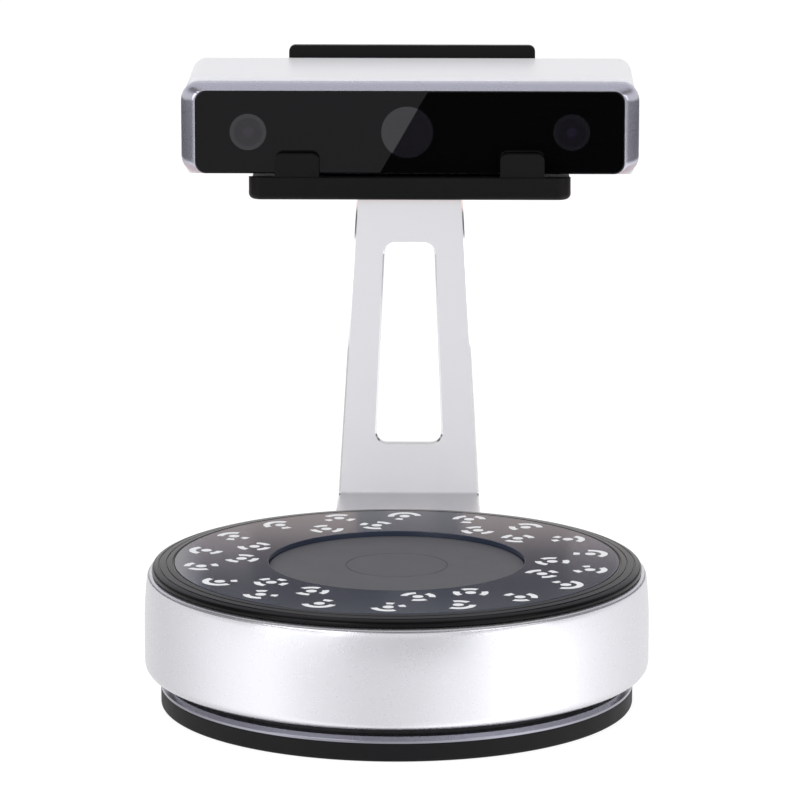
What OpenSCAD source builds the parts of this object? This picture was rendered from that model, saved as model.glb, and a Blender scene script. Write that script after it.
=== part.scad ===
// Desktop 3D scanner: a motor turntable, a bent plate arm behind it, and a bar-shaped scanning
// head that stands in a cradle on the arm. Millimetres, +Z up, +Y from the turntable to the head.
// The origin is on the turntable's axis, on the surface that the object stands on.

/* [Turntable base] */
// Outer diameter of the silver shroud
base_d = 200; // [192:1:230]
// Diameter of the rubber foot and of the bright trim ring on it
foot_d = 187.4; // [180:0.2:190]
// Height of the rubber foot
foot_h = 7.2; // [6:0.1:12]
// Height of the bright trim ring
trim_h = 2.6; // [1.5:0.1:4]
// Height of the dark gap between the trim ring and the shroud
neck_gap = 3.7; // [2.5:0.1:6]
// Height of the shroud
shroud_h = 39.5; // [38:0.5:60]
// Wall thickness of the shroud
shroud_wall = 2.5; // [1.5:0.1:3]
// Radius of the shroud's lower corner
shroud_corner = 5.5; // [3:0.1:8]
// How far the shroud's shoulder draws in at its top
shoulder_in = 2.4; // [1:0.1:3]
// Height over which the shoulder draws in
shoulder_h = 9; // [6:0.5:14]
// Thickness of the floor of the base tray
tray_floor = 2.5; // [2:0.1:4]
// Thickness of the deck that carries the bearing and the motor
deck_t = 2.5; // [2:0.1:4]

/* [Platter] */
// Diameter of the black platter
platter_d = 194; // [186:0.5:194]
// Height of the platter's top above the shroud
platter_rise = 4; // [3.5:0.1:5]
// Outer diameter of the marker ring
ring_od = 176; // [166:0.5:178]
// Outer diameter of the centre mat
mat_d = 101; // [80:0.5:120]
// Thickness of the marker ring
ring_t = 2.5; // [1.5:0.1:3]
// Thickness of the centre mat
mat_t = 2.5; // [1.5:0.1:3]
// Depth of the mat's top below the marker ring
mat_recess = 2; // [1:0.1:3]
// Thickness of the platter's floor below the mat
platter_floor = 2.5; // [2:0.1:4]
// Diameter of the faint centring circle on the mat
mat_circle_d = 40.6; // [20:0.2:60]

/* [Drive] */
// Gear module
gear_module = 1.25; // [1:0.05:1.3]
// Teeth on the platter's gear
gear_teeth = 72; // [64:8:72]
// Teeth on the motor's pinion
pinion_teeth = 16; // [14:2:18]
// Width of the gears' faces
gear_face = 4; // [3:0.5:5]
// Tooth thickness left out for backlash
backlash = 0.16; // [0.12:0.01:0.3]
// Outer diameter of the bearing
bearing_d = 37; // [36:0.5:42]
// Inner diameter of the bearing, and diameter of the spindle
spindle_d = 25; // [20:0.5:25]
// Width of the bearing
bearing_h = 7; // [6:0.5:7]
// Number of balls in the bearing
ball_count = 18; // [12:1:20]
// Diameter of the motor's can
motor_d = 28; // [24:0.5:30]
// Height of the motor's can
motor_h = 19; // [15:0.5:20]
// Diameter of the motor's shaft
motor_shaft_d = 5; // [4:0.1:6]

/* [Arm] */
// Thickness of the bent plate
arm_t = 3.5; // [3:0.1:5]
// Height of the pads under the plate
arm_pad_h = 0.6; // [0.5:0.1:1]
// Lean of the upright away from the turntable, in degrees
arm_lean = 12; // [5:0.5:20]
// Width of the foot plate at its front end
arm_w_foot = 76; // [68:0.5:90]
// Width of the upright at the bottom
arm_w_low = 64.9; // [55:0.1:75]
// Width of the upright at the top
arm_w_top = 49.3; // [46:0.1:55]
// Inner radius of the bends
arm_bend_r = 1; // [0.8:0.1:5]
// Distance from the turntable's axis to the plate's front end
arm_start = 38; // [32:0.5:44]
// Height of the slot's lower end
slot_z0 = 27.3; // [22:0.5:40]
// Height of the slot's upper end
slot_z1 = 117.6; // [100:0.5:122]
// Width of the slot at its lower end
slot_w_low = 30.4; // [24:0.2:36]
// Width of the slot at its upper end
slot_w_top = 22.8; // [16:0.2:28]
// Corner radius of the slot
slot_r = 5; // [3:0.2:7]

/* [Cradle] */
// Width of the cradle's tray
cradle_w = 149.4; // [140:0.2:170]
// Thickness of the tray's floor
cradle_floor = 3.8; // [3:0.1:5]
// Thickness of the front rail and the hooks
cradle_wall = 5.5; // [4:0.1:7]
// Height of the front rail
rail_h = 9.8; // [8:0.1:12]
// Corner radius of the tray in plan
cradle_r = 10; // [6:0.5:14]
// Width of each front hook
hook_w = 20.5; // [14:0.5:30]
// Distance between the hooks' centres
hook_pitch = 104.4; // [80:0.2:110]
// Height of the hooks above the front rail
hook_h = 11.6; // [8:0.1:16]
// Width of the rear wall
back_w = 117.5; // [90:0.5:118]
// Thickness of the rear wall
back_t = 3.5; // [2.5:0.1:4]
// Height of the rear wall above the head
back_rise = 5.7; // [4:0.1:15]
// Thickness of the pads under the head
pad_t = 4; // [1.5:0.1:5]

/* [Head] */
// Overall width of the head
head_w = 213; // [205:0.5:230]
// Overall height of the head
head_h = 46.5; // [44:0.5:52]
// Depth of the head, front glass to rear wall
head_d = 82.5; // [81:0.5:95]
// Distance from the turntable's axis to the front glass
head_reach = 385; // [370:1:400]
// Height of the head's underside
head_z0 = 146; // [146:0.5:160]
// Width of the front glass
glass_w = 199; // [196:0.5:203]
// Height of the front glass
glass_h = 38.5; // [36:0.5:40]
// Thickness of the front glass
glass_t = 2; // [1.5:0.1:3]
// Depth of the bezel's curved face
bezel_slope = 10; // [6:0.5:10]
// Depth of the bezel's straight edge behind the curve
bezel_edge = 2; // [1:0.1:2.5]
// Wall thickness of the head's shell
shell_wall = 2.5; // [2:0.1:3]
// Step from the bezel's edge in to the shell
shell_step = 2; // [1:0.1:2.5]
// Radius of the shell's rear corners
shell_r = 13; // [8:0.5:14]

/* [Optics] */
// Distance from the head's centre to each camera
camera_x = 75; // [68:0.5:75]
// Diameter of the camera barrels
camera_d = 17; // [14:0.5:18]
// Side of the camera bodies
camera_body = 20; // [18:0.5:21]
// Diameter of the projector barrel
projector_d = 24; // [20:0.5:26]
// Width of the projector body
projector_w = 52; // [44:0.5:54]
// Thickness of the optics frame
frame_t = 3; // [2:0.1:4]
// Side of the cooling fan
fan_w = 30; // [26:0.5:32]
// Thickness of the cooling fan
fan_t = 10; // [8:0.5:10]
// Diameter of the power button
button_d = 10; // [8:0.2:10]
// Travel of the power button
button_travel = 1; // [0.5:0.1:1.2]

/* [Fits] */
// Radial gap between a shaft and its bore
run_gap = 0.05; // [0.03:0.01:0.1]
// Gap between parts that slide past each other
slide_gap = 0.3; // [0.25:0.05:0.5]
// Gap between parts that turn past each other
turn_gap = 0.5; // [0.4:0.05:0.8]

/* [Hidden] */
$fn = 96;
cut = 1;            // how far a cutting shape runs past the face it cuts
screw_r = 1.5;      // M3 screws
screw_hole_r = screw_r + run_gap;
small_r = 1.1;      // M2 screws for boards
small_hole_r = small_r + run_gap;
screw_head_r = 2.8;
screw_head_h = 2;
post_r = 4.5;

// Heights in the turntable base
tray_z = foot_h;
trim_top = foot_h + trim_h;
shroud_z0 = trim_top + neck_gap;
shroud_z1 = shroud_z0 + shroud_h;
top_z = shroud_z1 + platter_rise;
ring_z = top_z - ring_t;
mat_top = top_z - mat_recess;
mat_z = mat_top - mat_t;
platter_z0 = mat_z - platter_floor;
gear_z0 = platter_z0 - gear_face;
bearing_z1 = gear_z0 - turn_gap;
bearing_z0 = bearing_z1 - bearing_h;
deck_z0 = bearing_z0 - deck_t;
tray_top = tray_z + tray_floor;

// Radii in the turntable base
base_r = base_d / 2;
foot_r = foot_d / 2;
neck_r = foot_r - 5.7;
neck_wall = 4;
trim_bevel = 0.9;
flange_w = 8;                              // the shroud's lower flange, inward from the neck
flange_t = 2.5;
shroud_in = base_r - shroud_wall;
lip_r = base_r - shoulder_in - 0.2;        // top edge of the shroud
platter_r = platter_d / 2;
skirt_r = min(platter_r, lip_r) - 3.2;     // the platter's skirt, inside the shroud's lip
skirt_t = 2.5;
lip_in = skirt_r + 0.6;
deck_r = shroud_in - 7;
flange_in = neck_r - neck_wall - flange_w;
post_ring = flange_in - post_r - 0.5;      // posts that carry the deck
base_screw_ring = flange_in + flange_w / 2;

// Drive
gear_r = gear_module * gear_teeth / 2;
pinion_r = gear_module * pinion_teeth / 2;
shaft_y = -(gear_r + pinion_r);
bearing_r = bearing_d / 2;
spindle_r = spindle_d / 2;
ball_pitch_r = (bearing_r + spindle_r) / 2;
ball_r = (bearing_r - spindle_r) * 0.29;
race_gap = (bearing_r - spindle_r) * 0.15;
deck_boss_r = bearing_r + 4;
flange_r = spindle_r + 5.5;
platter_screw_ring = (flange_r + gear_r) / 2 - 2;
hub_screw_r = 2.5;
motor_r = motor_d / 2;
motor_z0 = deck_z0 - motor_h;
motor_ear = motor_r + 3.5;
ear_r = 3.5;
ear_t = 1;
shaft_r = motor_shaft_d / 2;

// Control board and its socket in the base
board_t = 1.6;
board_w = 38;
board_l = 58;
board_y = 0;
board_x = sqrt(pow(flange_in, 2) - pow(board_l / 2 + abs(board_y), 2)) - board_w / 2 - 2;
standoff_h = 5;
standoff_r = 3;
base_board_z = tray_top + standoff_h;
port_w = 10;
port_h = 8;
port_wall = 2;
port_depth = 9;
base_port_y = sqrt(pow(shroud_in, 2) - pow(port_w / 2 + port_wall, 2)) - 0.1;
base_port_z = shroud_z0 + flange_t + 10;

// Head's outline
head_z1 = head_z0 + head_h;
shell_zc = head_z0 + head_h / 2;
glass_drop = 0.25;                         // the glass and the optics sit below the shell's middle
head_zc = shell_zc - glass_drop;
head_y1 = head_reach + head_d;

// Arm
arm_top = arm_pad_h + arm_t;
hook_pad_t = 1.7;
cradle_z0 = head_z0 - pad_t - cradle_floor;
cradle_y0 = head_reach - slide_gap - hook_pad_t - cradle_wall;
arm_turn = 90 - arm_lean;
arm_face_y = cradle_y0 + 6.5;              // front of the upright where it meets the tray
arm_bend_y = arm_face_y - (cradle_z0 - arm_top) * tan(arm_lean);
flange_l = 46;
flange_y1 = arm_face_y + flange_l;
arm_screw_x = 22;
arm_screw_y = [arm_start + 14, arm_start + 38];
arm_screw_r = 2;
arm_hole_r = arm_screw_r + run_gap;
arm_head_r = 3.8;
arm_head_h = 2;
top_screw_x = 15;
top_screw_y = [arm_face_y + 18, arm_face_y + 36];
boss_up = 1.5;                             // the cradle's screw bosses above its floor
top_screw_l = cradle_floor + boss_up - 0.8;
arc_steps = 10;

// Cradle and head
cradle_y1 = head_y1 + slide_gap + 0.2 + back_t;
cradle_top = cradle_z0 + cradle_floor;
cradle_edge_r = 2.5;                       // the tray's lower edges, seen from the front
rail_top = cradle_z0 + rail_h;
side_top = min(rail_top, head_z0 + 0.8);   // the rail's ends, which turn the corner under the bezel
back_r = 3;                                // upper corners of the rear wall
shell_y0 = head_reach + bezel_slope + bezel_edge;
shell_w = head_w - 2 * shell_step;
shell_in_y1 = head_y1 - shell_wall;
shell_in_z0 = head_z0 + shell_wall;
shell_in_w = shell_w - 2 * shell_wall;
shell_edge_r = 2.5;                          // the rear edges, seen from the side
edge_r = 6;                                // the shell's corners, seen from the front
glass_r = 5;
bezel_r = 8.5;
bezel_lip = 0.5;
bezel_up = 1;                              // the bezel's lower edge above the shell's underside
shell_rise = 0.7;                          // the shell's top above the bezel
bezel_h = head_h - bezel_up - shell_rise;
bezel_zc = head_z0 + bezel_up + bezel_h / 2;
bezel_curve = [[0, 0], [0.2, 0.42], [0.5, 0.78]];   // share of the depth, share of the widening
spigot_l = 4;
vent_w = 1.8;
vent_pitch = 3.3;
intake_n = 6;
intake_pitch = 5;
window_w = 44;
window_h = 26;

// Optics
barrel_y0 = head_reach + glass_t + slide_gap;
frame_y0 = shell_y0 + spigot_l + 4;
frame_y1 = frame_y0 + frame_t;
frame_w = shell_in_w - 20;
frame_h = head_h - 2 * shell_wall - 6;
frame_boss_x = frame_w / 2 - 3.6;
frame_boss_z = frame_h / 2 - 4;
camera_r = camera_d / 2;
camera_len = 15;
barrel_wall = 1.4;
projector_r = projector_d / 2;
projector_l = 24;
projector_h = 33;
sink_y0 = frame_y1 + projector_l;
fan_y1 = shell_in_y1 - 1;
fan_y0 = fan_y1 - fan_t;
sink_y1 = fan_y0 - 1.5;
fan_r = fan_w / 2 - 1;
rotor_hub_r = 6;
spoke_t = 1.5;
fan_pin_r = 1;

// Boards, sockets and button in the head
head_board_z = shell_in_z0 + 3;
head_board_top = head_board_z + board_t;
board_end = shell_in_w / 2 - 8;            // outer ends of both boards
side_board_w = 38;
head_board_y0 = frame_y1 + 14;
head_board_y1 = shell_in_y1 - 1.5;
main_area = [-board_end, head_board_y0, -projector_w / 2 - 4, head_board_y1];       // x0, y0, x1, y1
side_area = [board_end - side_board_w, head_board_y0, board_end, head_board_y1];
usb_x = 27 - board_end;
usb_w = 12;
usb_h = 11;
jack_x = 10 - board_end;
jack_w = 9;
jack_h = 11;
jack_bore_r = 3.2;
jack_pin_r = 1;
jack_pin_in = 3.5;                         // how far the pin's tip sits behind the socket's face
link_x = board_end - 27;
socket_y0 = shell_in_y1 - 13;
socket_y1 = head_y1 - 0.5;
button_x = board_end - 11;
button_r = button_d / 2;
button_z = head_board_top + 7;
button_proud = 1.2;
button_flange = 1.5;
button_y0 = shell_in_y1 - slide_gap - button_flange;
tact_w = 6;
tact_y1 = shell_in_y1 - 5.5;
insert_r = 6;
insert_bore_r = 3.175;
insert_y = cradle_y0 + 47;
insert_h = 5;

// ---------------------------------------------------------------- shared shapes

// Points of an arc in a plane, from one angle to another
function arc(cx, cy, r, a0, a1, n) =
    [for (i = [0:n]) let (a = a0 + (a1 - a0) * i / n) [cx + r * cos(a), cy + r * sin(a)]];

// A rectangle with round corners, centred on the origin
module rounded(w, h, r) {
    square([w - 2 * r, h], center = true);
    square([w, h - 2 * r], center = true);
    for (x = [-1, 1], y = [-1, 1]) translate([x * (w / 2 - r), y * (h / 2 - r)]) circle(r);
}

// Stands a drawing of the front view upright, with its front face at y0
module upright(y0, depth) {
    translate([0, y0 + depth, 0]) rotate([90, 0, 0]) linear_extrude(depth) children();
}

// A tube or disc along Y
module along_y(x, y0, z, r, len) {
    translate([x, y0 + len, z]) rotate([90, 0, 0]) cylinder(r = r, h = len);
}

// A screw that stands head down: the head's underside is at z
module screw_up(r, head_r, head_h, len) {
    translate([0, 0, -head_h]) cylinder(r = head_r, h = head_h);
    cylinder(r = r, h = len);
}

module block(x0, y0, z0, x1, y1, z1) {
    translate([x0, y0, z0]) cube([x1 - x0, y1 - y0, z1 - z0]);
}

module ring(r_out, r_in, z0, z1) {
    translate([0, 0, z0]) difference() {
        cylinder(r = r_out, h = z1 - z0);
        translate([0, 0, -cut]) cylinder(r = r_in, h = z1 - z0 + 2 * cut);
    }
}

module around(n, r, start = 0) {
    for (i = [0:n - 1]) rotate(start + i * 360 / n) translate([r, 0, 0]) children();
}

// Involute of a circle: how far the flank has turned at radius r, in degrees
function inv_turn(r, rb) = r <= rb ? 0 : let (a = acos(rb / r)) tan(a) * 180 / PI - a;

// A spur gear's outline: each flank has points at the root, base, pitch and tip circles
module gear_outline(teeth) {
    rp = gear_module * teeth / 2;
    rb = rp * cos(20);
    root = rp - 1.25 * gear_module;
    tip = rp + gear_module;
    radii = [root, max(rb, root + 0.1), rp, tip];
    half = 90 / teeth - backlash / rp * 90 / PI;
    polygon([for (i = [0:teeth - 1]) for (s = [-1, 1]) for (k = s < 0 ? [0:3] : [3:-1:0])
        let (r = radii[k], a = i * 360 / teeth + s * (half + inv_turn(rp, rb) - inv_turn(r, rb)))
        [r * cos(a), r * sin(a)]]);
}

module arm_screw_places() {
    for (x = [-1, 1], y = arm_screw_y) translate([x * arm_screw_x, y, 0]) children();
}

module top_screw_places() {
    for (x = [-1, 1], y = top_screw_y) translate([x * top_screw_x, y, 0]) children();
}

module base_board_posts() {
    for (x = [-1, 1], y = [-1, 1])
        translate([board_x + x * (board_w / 2 - 4), board_y + y * (board_l / 2 - 4), 0]) children();
}

// ---------------------------------------------------------------- turntable base

// Moulded rubber foot, with a channel for the arm's foot plate
module base_foot() color("#1e1e21") difference() {
    cylinder(r = foot_r, h = foot_h);
    translate([0, 0, -cut]) linear_extrude(arm_top + cut) arm_foot_outline(slide_gap, foot_r + cut);
    arm_screw_places() translate([0, 0, -cut]) cylinder(r = arm_screw_r + slide_gap, h = foot_h + 2 * cut);
    around(4, base_screw_ring, 0) translate([0, 0, foot_h - screw_head_h - slide_gap])
        cylinder(r = screw_head_r + slide_gap, h = screw_head_h + slide_gap + cut);
}

// Lower casing: floor, neck wall, posts and bosses
module base_tray() color("#26262a") difference() {
    union() {
        translate([0, 0, tray_z]) cylinder(r = neck_r, h = tray_floor);
        ring(neck_r, neck_r - neck_wall, tray_z, shroud_z0);
        around(4, post_ring, 45) translate([0, 0, tray_z]) cylinder(r = post_r, h = deck_z0 - tray_z);
        around(4, base_screw_ring, 0) translate([0, 0, tray_z]) cylinder(r = post_r, h = shroud_z0 - tray_z);
        base_board_posts() translate([0, 0, tray_z]) cylinder(r = standoff_r, h = base_board_z - tray_z);
        arm_screw_places() translate([0, 0, tray_z]) cylinder(r = post_r, h = shroud_z0 - tray_z);
    }
    around(4, post_ring, 45) translate([0, 0, deck_z0 - 12]) cylinder(r = screw_hole_r, h = 12 + cut);
    around(4, base_screw_ring, 0) translate([0, 0, tray_z - cut])
        cylinder(r = screw_hole_r, h = shroud_z0 - tray_z + 2 * cut);
    base_board_posts() translate([0, 0, base_board_z - standoff_h])
        cylinder(r = small_hole_r, h = standoff_h + cut);
    arm_screw_places() translate([0, 0, tray_z - cut])
        cylinder(r = arm_hole_r, h = shroud_z0 - 1 - tray_z + cut);
}

// Bright ring with a bevelled upper edge
module trim_ring() color("#d8d8dc") rotate_extrude() polygon([
    [neck_r + run_gap, foot_h], [foot_r, foot_h], [foot_r, trim_top - trim_bevel],
    [foot_r - trim_bevel * 1.2, trim_top], [neck_r + run_gap, trim_top]
]);

// Silver shroud: a turned profile with a round lower corner and a drawn-in shoulder
module shroud() color("#d2d2d8") difference() {
    rotate_extrude() polygon(concat(
        [[flange_in, shroud_z0], [base_r - shroud_corner, shroud_z0]],
        arc(base_r - shroud_corner, shroud_z0 + shroud_corner, shroud_corner, -90, 0, arc_steps),
        shoulder(base_r, shroud_z1 - shoulder_h, shoulder_in, shoulder_h - 0.6),
        [[lip_r - 0.8, shroud_z1], [lip_in, shroud_z1], [lip_in, shroud_z1 - 2]],
        [[lip_r - shroud_wall, shroud_z1 - 2.6], [shroud_in, shroud_z1 - shoulder_h]],
        [[shroud_in, shroud_z0 + shroud_corner], [base_r - shroud_corner, shroud_z0 + flange_t],
         [flange_in, shroud_z0 + flange_t]]
    ));
    around(4, base_screw_ring, 0) translate([0, 0, shroud_z0 - cut])
        cylinder(r = screw_hole_r, h = flange_t + 2 * cut);
    upright(base_port_y - cut, shroud_wall + 3 + 2 * cut) translate([0, base_port_z])
        square([port_w + 1, port_h + 1], center = true);
    block(-port_w / 2 - port_wall - 0.1, base_port_y - port_depth, shroud_z0 + flange_t,
        port_w / 2 + port_wall + 0.1, base_port_y + 0.1, shroud_z0 + shroud_corner + cut);
}

// Points of a quarter-ellipse shoulder that draws in by dr over the height dh
function shoulder(r, z, dr, dh) =
    [for (i = [0:arc_steps]) let (a = 90 * i / arc_steps) [r - dr * (1 - cos(a)), z + dh * sin(a)]];

// Screws that hold the shroud on the tray
module base_screws() color("#8a8a90")
    around(4, base_screw_ring, 0) translate([0, 0, tray_z])
        screw_up(screw_r, screw_head_r, screw_head_h, shroud_z0 + flange_t - tray_z);

// Deck with the bearing's seat and the motor's hole
module deck() color("#3a3a40") difference() {
    union() {
        translate([0, 0, deck_z0]) cylinder(r = deck_r, h = deck_t);
        translate([0, 0, deck_z0]) cylinder(r = deck_boss_r, h = deck_t + bearing_h - 1);
    }
    translate([0, 0, bearing_z0]) cylinder(r = bearing_r, h = bearing_h + cut);
    translate([0, 0, deck_z0 - cut]) cylinder(r = bearing_r - 1.6, h = deck_t + 2 * cut);
    translate([0, shaft_y, deck_z0 - cut]) cylinder(r = shaft_r + 2, h = deck_t + 2 * cut);
    motor_ears() translate([0, 0, deck_z0 - cut]) cylinder(r = screw_hole_r, h = deck_t + 2 * cut);
    around(4, post_ring, 45) translate([0, 0, deck_z0 - cut]) cylinder(r = screw_hole_r, h = deck_t + 2 * cut);
}

module deck_screws() color("#8a8a90")
    around(4, post_ring, 45) translate([0, 0, deck_z0 + deck_t]) mirror([0, 0, 1])
        screw_up(screw_r, screw_head_r, screw_head_h, deck_t + 10);

module race(r_out, r_in) {
    difference() {
        ring(r_out, r_in, bearing_z0, bearing_z1);
        rotate_extrude() translate([ball_pitch_r, bearing_z0 + bearing_h / 2]) circle(ball_r + run_gap);
    }
}

module outer_race() color("#a8a8ae") race(bearing_r - run_gap, ball_pitch_r + race_gap);

module inner_race() color("#a8a8ae") race(ball_pitch_r - race_gap, spindle_r + run_gap);

module bearing_balls() color("#c8c8cc")
    around(ball_count, ball_pitch_r) translate([0, 0, bearing_z0 + bearing_h / 2]) sphere(ball_r, $fn = 32);

module motor_ears() {
    for (x = [-1, 1]) translate([x * motor_ear, shaft_y, 0]) children();
}

// Stepping motor that hangs under the deck, with a bushed hole for its shaft
module motor() color("#9a9aa0") difference() {
    union() {
        translate([0, shaft_y, motor_z0]) cylinder(r = motor_r, h = motor_h);
        motor_ears() translate([0, 0, deck_z0 - ear_t]) cylinder(r = ear_r, h = ear_t);
        block(-motor_ear, shaft_y - ear_r, deck_z0 - ear_t, motor_ear, shaft_y + ear_r, deck_z0);
    }
    motor_ears() translate([0, 0, deck_z0 - ear_t - cut]) cylinder(r = screw_hole_r, h = ear_t + 2 * cut);
    translate([0, shaft_y, motor_z0 + 6]) cylinder(r = shaft_r + run_gap, h = motor_h);
}

module motor_screws() color("#8a8a90")
    motor_ears() translate([0, 0, deck_z0 - ear_t])
        screw_up(screw_r, screw_head_r, screw_head_h, ear_t + deck_t);

module board_holes(z) {
    base_board_posts() translate([0, 0, z]) children();
}

// Motor driver board with its chip, capacitor and plug headers
module control_board() color("#1f5c3a") difference() {
    union() {
        translate([board_x - board_w / 2, board_y - board_l / 2, base_board_z])
            cube([board_w, board_l, board_t]);
        translate([board_x - 6, board_y - 4, base_board_z + board_t]) cube([10, 10, 1.6]);
        translate([board_x + 8, board_y + 12, base_board_z + board_t]) cylinder(r = 4, h = 9);
        translate([board_x - 12, board_y - 22, base_board_z + board_t]) cube([14, 6, 7]);
        translate([board_x - 14, board_y + 16, base_board_z + board_t]) cube([12, 6, 7]);
    }
    board_holes(base_board_z - cut) cylinder(r = small_hole_r, h = board_t + 2 * cut);
}

module control_board_screws() color("#8a8a90")
    board_holes(base_board_z + board_t) mirror([0, 0, 1])
        screw_up(small_r, screw_head_r - 0.6, screw_head_h - 0.4, board_t + standoff_h - 1);

// Socket housing: a box with a rectangular mouth towards +Y and a contact tongue's seat
module socket(x, y0, z0, y1, z1, w, mouth_w, mouth_h, mouth_z, depth) {
    difference() {
        block(x - w / 2, y0, z0, x + w / 2, y1, z1);
        block(x - mouth_w / 2, y1 - depth, mouth_z - mouth_h / 2,
            x + mouth_w / 2, y1 + cut, mouth_z + mouth_h / 2);
    }
}

module base_socket() color("#222226")
    socket(0, base_port_y - port_depth - 3, shroud_z0 + flange_t, base_port_y,
        base_port_z + port_h / 2 + port_wall, port_w + 2 * port_wall, port_w, port_h, base_port_z, port_depth);

// ---------------------------------------------------------------- platter

// Platter: bevelled rim, pocket for the marker ring, deeper pocket for the mat
module platter() color("#2b2b30") difference() {
    rotate_extrude() polygon(concat(
        [[0, platter_z0], [skirt_r - skirt_t, platter_z0], [skirt_r, platter_z0]],
        [[skirt_r, shroud_z1 + turn_gap], [platter_r, shroud_z1 + turn_gap]],
        arc(platter_r - 2.2, shroud_z1 + turn_gap + 0.4, 2.2, 0, 70, 6),
        [[ring_od / 2 + 0.9, top_z], [ring_od / 2 + 0.1, top_z - 0.3], [ring_od / 2 + 0.1, ring_z]],
        [[mat_d / 2 + 0.1, ring_z], [mat_d / 2 + 0.1, mat_z], [0, mat_z]]
    ));
    translate([0, 0, platter_z0 - cut]) cylinder(r = hub_screw_r + run_gap, h = platter_floor + 2 * cut);
    translate([0, 0, mat_z - 1.5]) cylinder(r = 5, h = 1.5 + cut);
    around(3, platter_screw_ring, 90) translate([0, 0, platter_z0 - cut])
        cylinder(r = screw_hole_r, h = platter_floor - 0.5 + cut);
}

// Glass ring that carries the printed targets
module marker_ring() color("#23252e") ring(ring_od / 2, mat_d / 2 + 0.3, ring_z, top_z);

// Rubber mat with a fine centring groove
module centre_mat() color("#57565c") difference() {
    translate([0, 0, mat_z]) cylinder(r = mat_d / 2, h = mat_t);
    ring(mat_circle_d / 2, mat_circle_d / 2 - 0.5, mat_top - 0.2, mat_top + cut);
}

module platter_gear() color("#e8e4d8") difference() {
    translate([0, 0, gear_z0]) linear_extrude(gear_face) gear_outline(gear_teeth);
    translate([0, 0, gear_z0 - cut]) cylinder(r = flange_r + run_gap, h = gear_face + 2 * cut);
    around(3, platter_screw_ring, 90) translate([0, 0, gear_z0 - cut])
        cylinder(r = screw_hole_r, h = gear_face + 2 * cut);
}

// Turned hub that passes through the bearing
module spindle() color("#b4b4ba") difference() {
    union() {
        translate([0, 0, gear_z0]) cylinder(r = flange_r, h = gear_face);
        translate([0, 0, bearing_z1]) cylinder(r = spindle_r + 1.2, h = turn_gap);
        translate([0, 0, deck_z0 + 0.5]) cylinder(r = spindle_r, h = gear_z0 - deck_z0 - 0.5);
    }
    ring(spindle_r + cut, spindle_r - 0.8, bearing_z0 - 1.2, bearing_z0);
    translate([0, 0, gear_z0 - 6]) cylinder(r = hub_screw_r + run_gap, h = gear_face + 6 + cut);
}

// Spring clip in the spindle's groove, under the inner race
module spindle_clip() color("#606066")
    ring(ball_pitch_r - race_gap, spindle_r - 0.8 + run_gap, bearing_z0 - 1.2 + run_gap, bearing_z0);

module platter_screws() color("#8a8a90") {
    around(3, platter_screw_ring, 90) translate([0, 0, gear_z0])
        screw_up(screw_r, screw_head_r, screw_head_h, gear_face + platter_floor - 0.5);
    translate([0, 0, mat_z - 1.5]) cylinder(r = 4.6, h = 1.5);
    translate([0, 0, gear_z0 - 6]) cylinder(r = hub_screw_r, h = gear_face + 6 + platter_floor - 1.5);
}

module pinion() color("#c9a24a") translate([0, shaft_y, 0]) difference() {
    union() {
        translate([0, 0, gear_z0 - 0.2]) linear_extrude(gear_face - 0.1) rotate(180 / pinion_teeth)
            gear_outline(pinion_teeth);
        translate([0, 0, gear_z0 - 3]) cylinder(r = shaft_r + 2, h = 3);
    }
    translate([0, 0, gear_z0 - 3 - cut]) cylinder(r = shaft_r + run_gap, h = gear_face + 3 + 2 * cut);
}

module motor_shaft() color("#d0d0d4")
    translate([0, shaft_y, motor_z0 + 6.2])
        cylinder(r = shaft_r, h = gear_z0 + gear_face - 0.5 - motor_z0 - 6.2);

// ---------------------------------------------------------------- arm

// Outline of the foot plate in plan, grown by a gap, out to the distance y1
module arm_foot_outline(gap, y1) {
    slope = (arm_w_foot - arm_w_low) / 2 / (arm_bend_y - arm_start);
    r = 8;
    w0 = arm_w_foot / 2 + gap;
    w1 = w0 - slope * (y1 - arm_start);
    polygon(concat(
        arc(-w0 + r, arm_start - gap + r, r, 180, 270, arc_steps),
        arc(w0 - r, arm_start - gap + r, r, 270, 360, arc_steps),
        [[w1, y1], [-w1, y1]]
    ));
}

// Side view of the bend, the leaning upright and the flange under the cradle
module arm_side(y0) {
    t1 = arm_bend_r * tan(arm_turn / 2);
    r2 = arm_bend_r + arm_t;
    c1 = [arm_bend_y - t1, arm_top + arm_bend_r];
    c2 = [arm_face_y + r2 * tan(arm_turn / 2), cradle_z0 - r2];
    polygon(concat(
        [[y0, arm_top]],
        arc(c1[0], c1[1], arm_bend_r, -90, -arm_lean, arc_steps),
        arc(c2[0], c2[1], r2, 180 - arm_lean, 90, arc_steps),
        [[flange_y1, cradle_z0], [flange_y1, cradle_z0 - arm_t]],
        arc(c2[0], c2[1], arm_bend_r, 90, 180 - arm_lean, arc_steps),
        arc(c1[0], c1[1], r2, -arm_lean, -90, arc_steps),
        [[y0, arm_pad_h]]
    ));
}

// Front view of the upright
module arm_front() {
    low = arm_top + arm_bend_r;
    high = cradle_z0 - arm_bend_r - arm_t;
    polygon([
        [-arm_w_low / 2, -cut], [arm_w_low / 2, -cut], [arm_w_low / 2, low], [arm_w_top / 2, high],
        [arm_w_top / 2, cradle_z0 + cut], [-arm_w_top / 2, cradle_z0 + cut],
        [-arm_w_top / 2, high], [-arm_w_low / 2, low]
    ]);
}

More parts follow.
